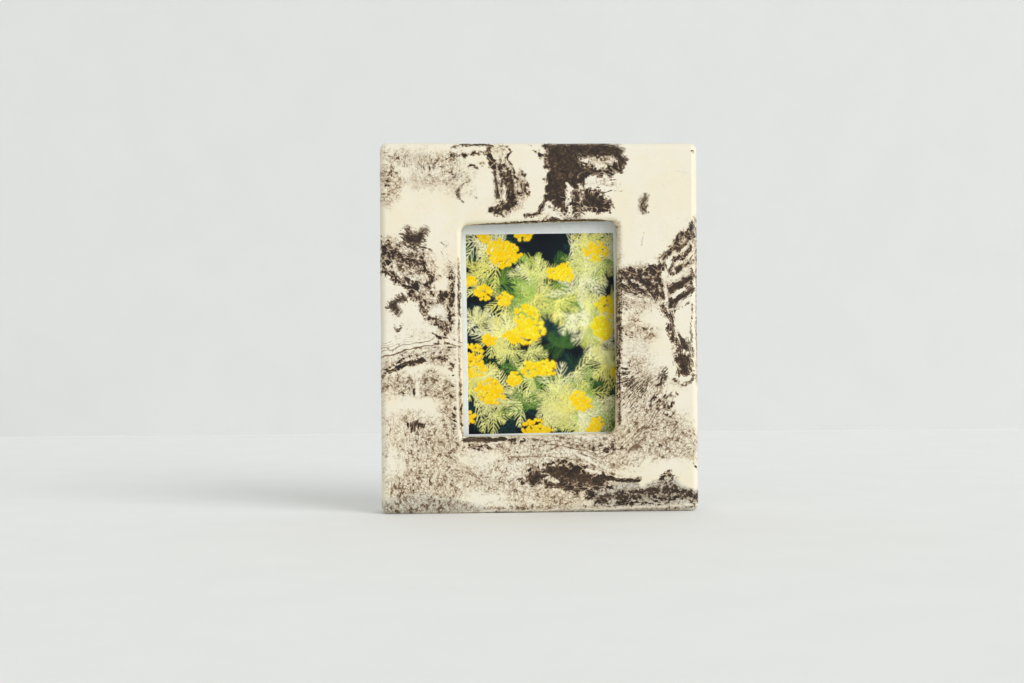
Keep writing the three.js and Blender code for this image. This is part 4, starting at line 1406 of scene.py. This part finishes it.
def buildBumper(low, high):
    radius, top, arris = bumper["radius"], bumper["height"], bumper["arris"]
    profile = [(0, 0), (radius - arris, 0), (radius, arris)]
    start = Vector((radius, top * bumper["wallShare"]))
    pull = Vector((radius * bumper["pull"][0], top * bumper["pull"][1]))
    stop = Vector((bumper["face"], top))
    for k in range(bumper["steps"] + 1):
        t = k / bumper["steps"]
        profile.append(start.lerp(pull, t).lerp(pull.lerp(stop, t), t))
    profile.append((0, top))
    bm = spun(profile, bumper["sides"])
    smoothByAngle(bm)
    centre = (low + high) / 2
    place = Matrix.Translation(Vector((centre[0], low[1], centre[2])) * mm) @ Matrix.Scale(mm, 4)
    bmesh.ops.transform(bm, matrix=place, verts=bm.verts)
    return bm


brass = satinBrass()
clear = softClear()
joints = {joint["child"]: joint for joint in frame["record"]["behaviour"]["joints"]}
for order, spot in enumerate(fourCorners, 1):
    pivot = Vector(joints["button_" + spot]["pos_m"])
    bm = buildButton(pivot)
    makePiece("brass_button_" + spot, bm, [brass], "button_" + spot, "turn_button_" + spot)
    low, high = boxOf("pivot_screw_" + spot)
    bm = buildScrew(low[1], high[1])
    screw = makePiece("slotted_screw_" + spot, bm, [brass], "frame", "pivot_screw_" + spot)
    slot = slotCutter(high[1], math.radians(order * brassware["slotTurn"]))
    carve(screw, slot, Matrix.Translation((pivot.x, 0, pivot.z)) @ Matrix.Scale(mm, 4))
    bm = buildBumper(*boxOf("rear_bumper_" + spot))
    makePiece("soft_bumper_" + spot, bm, [clear], "frame", "rear_bumper_" + spot)
print("hardware: buttons, screws and bumpers placed")


# CAD nodes that stay get a finish and softened arrises
keptFinish = {"weld": 0.001, "steps": 2}
kept = {"backing_board": (hardboard(), board["arris"]), "filler_card": (greyCard(), filler["arris"])}
for spot in fourCorners:
    kept["socket_insert_" + spot] = (brass, brassware["insertArris"])
for name, (material, arris) in kept.items():
    node = frame["nodes"][name]
    node.data.materials.clear()
    node.data.materials.append(material)
    weld = node.modifiers.new("weld", "WELD")
    weld.merge_threshold = keptFinish["weld"] * mm
    soften = node.modifiers.new("soften", "BEVEL")
    soften.width = arris * mm
    soften.segments = keptFinish["steps"]
    soften.limit_method = "ANGLE"
    soften.angle_limit = math.radians(creaseAngle)
print("kept nodes finished:", len(kept))


# stage, light and camera
stage = {
    "floorSize": 6.0,
    "wallBehind": 0.46,
    "floor": colour(243, 244, 242),
    "wall": colour(222, 224, 222),
    "shade": 0.985,
    "worldLight": 0.585,
    "worldTone": colour(255, 255, 255),
    "worldSeen": colour(232, 234, 236),
}
lamp = {"place": (8.0, -8.0, 4.75), "width": 8.4, "height": 9.5, "power": 970.0}
shot = {"lens": 60.0, "nearest": 0.01, "distance": 0.525, "aim": (-8.7, 52.8), "yaw": 3.2, "roll": 0.3}


def paleSurface(name, tone):
    m = Recipe(name)
    shaded = (*[stage["shade"] * part for part in tone[:3]], 1.0)
    return m.finish({
        "Base Color": m.mottle(m.noise(40, 4.0), tone, shaded),
        "Roughness": 0.85,
        "Specular IOR Level": 0.2,
    })


def stageSheet(name, back, turn, material):
    bm = bmesh.new()
    bmesh.ops.create_grid(bm, x_segments=2, y_segments=2, size=stage["floorSize"] / 2)
    place = Matrix.Translation((0, back, 0)) @ Matrix.Rotation(turn, 4, "X")
    bmesh.ops.transform(bm, matrix=place, verts=bm.verts)
    sheet = looseMesh(name, bm)
    sheet.data.materials.append(material)


def softRoom():
    m = Recipe("soft_room", bpy.data.worlds.new("soft_room"))
    room = m.add("ShaderNodeBackground", {}, {"Color": stage["worldTone"], "Strength": stage["worldLight"]})
    shown = m.add("ShaderNodeBackground", {}, {"Color": stage["worldSeen"]})
    seen = m.add("ShaderNodeLightPath", output="Is Camera Ray")
    for kind in ("Is Glossy Ray", "Is Transmission Ray"):
        seen = m.sum("MAXIMUM", seen, m.add("ShaderNodeLightPath", output=kind))
    return m.close("ShaderNodeOutputWorld", m.add("ShaderNodeMixShader", {}, {0: seen, 1: room, 2: shown}))


stageSheet("floor", 0, 0, paleSurface("pale_floor", stage["floor"]))
stageSheet("wall", stage["wallBehind"], math.pi / 2, paleSurface("pale_wall", stage["wall"]))
bpy.context.scene.world = softRoom()

light = bpy.data.lights.new("window_light", "AREA")
light.shape = "RECTANGLE"
light.size = lamp["width"]
light.size_y = lamp["height"]
light.energy = lamp["power"]
key = bpy.data.objects.new("window_light", light)
key.location = lamp["place"]
key.rotation_euler = (middle - Vector(lamp["place"])).to_track_quat("-Z", "Y").to_euler()
bpy.context.collection.objects.link(key)

camera = bpy.data.objects.new("camera", bpy.data.cameras.new("camera"))
camera.data.lens = shot["lens"]
camera.data.clip_start = shot["nearest"]
yaw = math.radians(shot["yaw"])
aim = Vector((shot["aim"][0], faceY, shot["aim"][1])) * mm
camera.location = aim + Vector((-math.sin(yaw), -math.cos(yaw), 0)) * shot["distance"]
look = (aim - camera.location).to_track_quat("-Z", "Y").to_matrix().to_4x4()
camera.rotation_euler = (look @ Matrix.Rotation(math.radians(-shot["roll"]), 4, "Z")).to_euler()
bpy.context.collection.objects.link(camera)
bpy.context.scene.camera = camera
bpy.context.scene.view_settings.view_transform = "Standard"
print("stage, light and camera set")
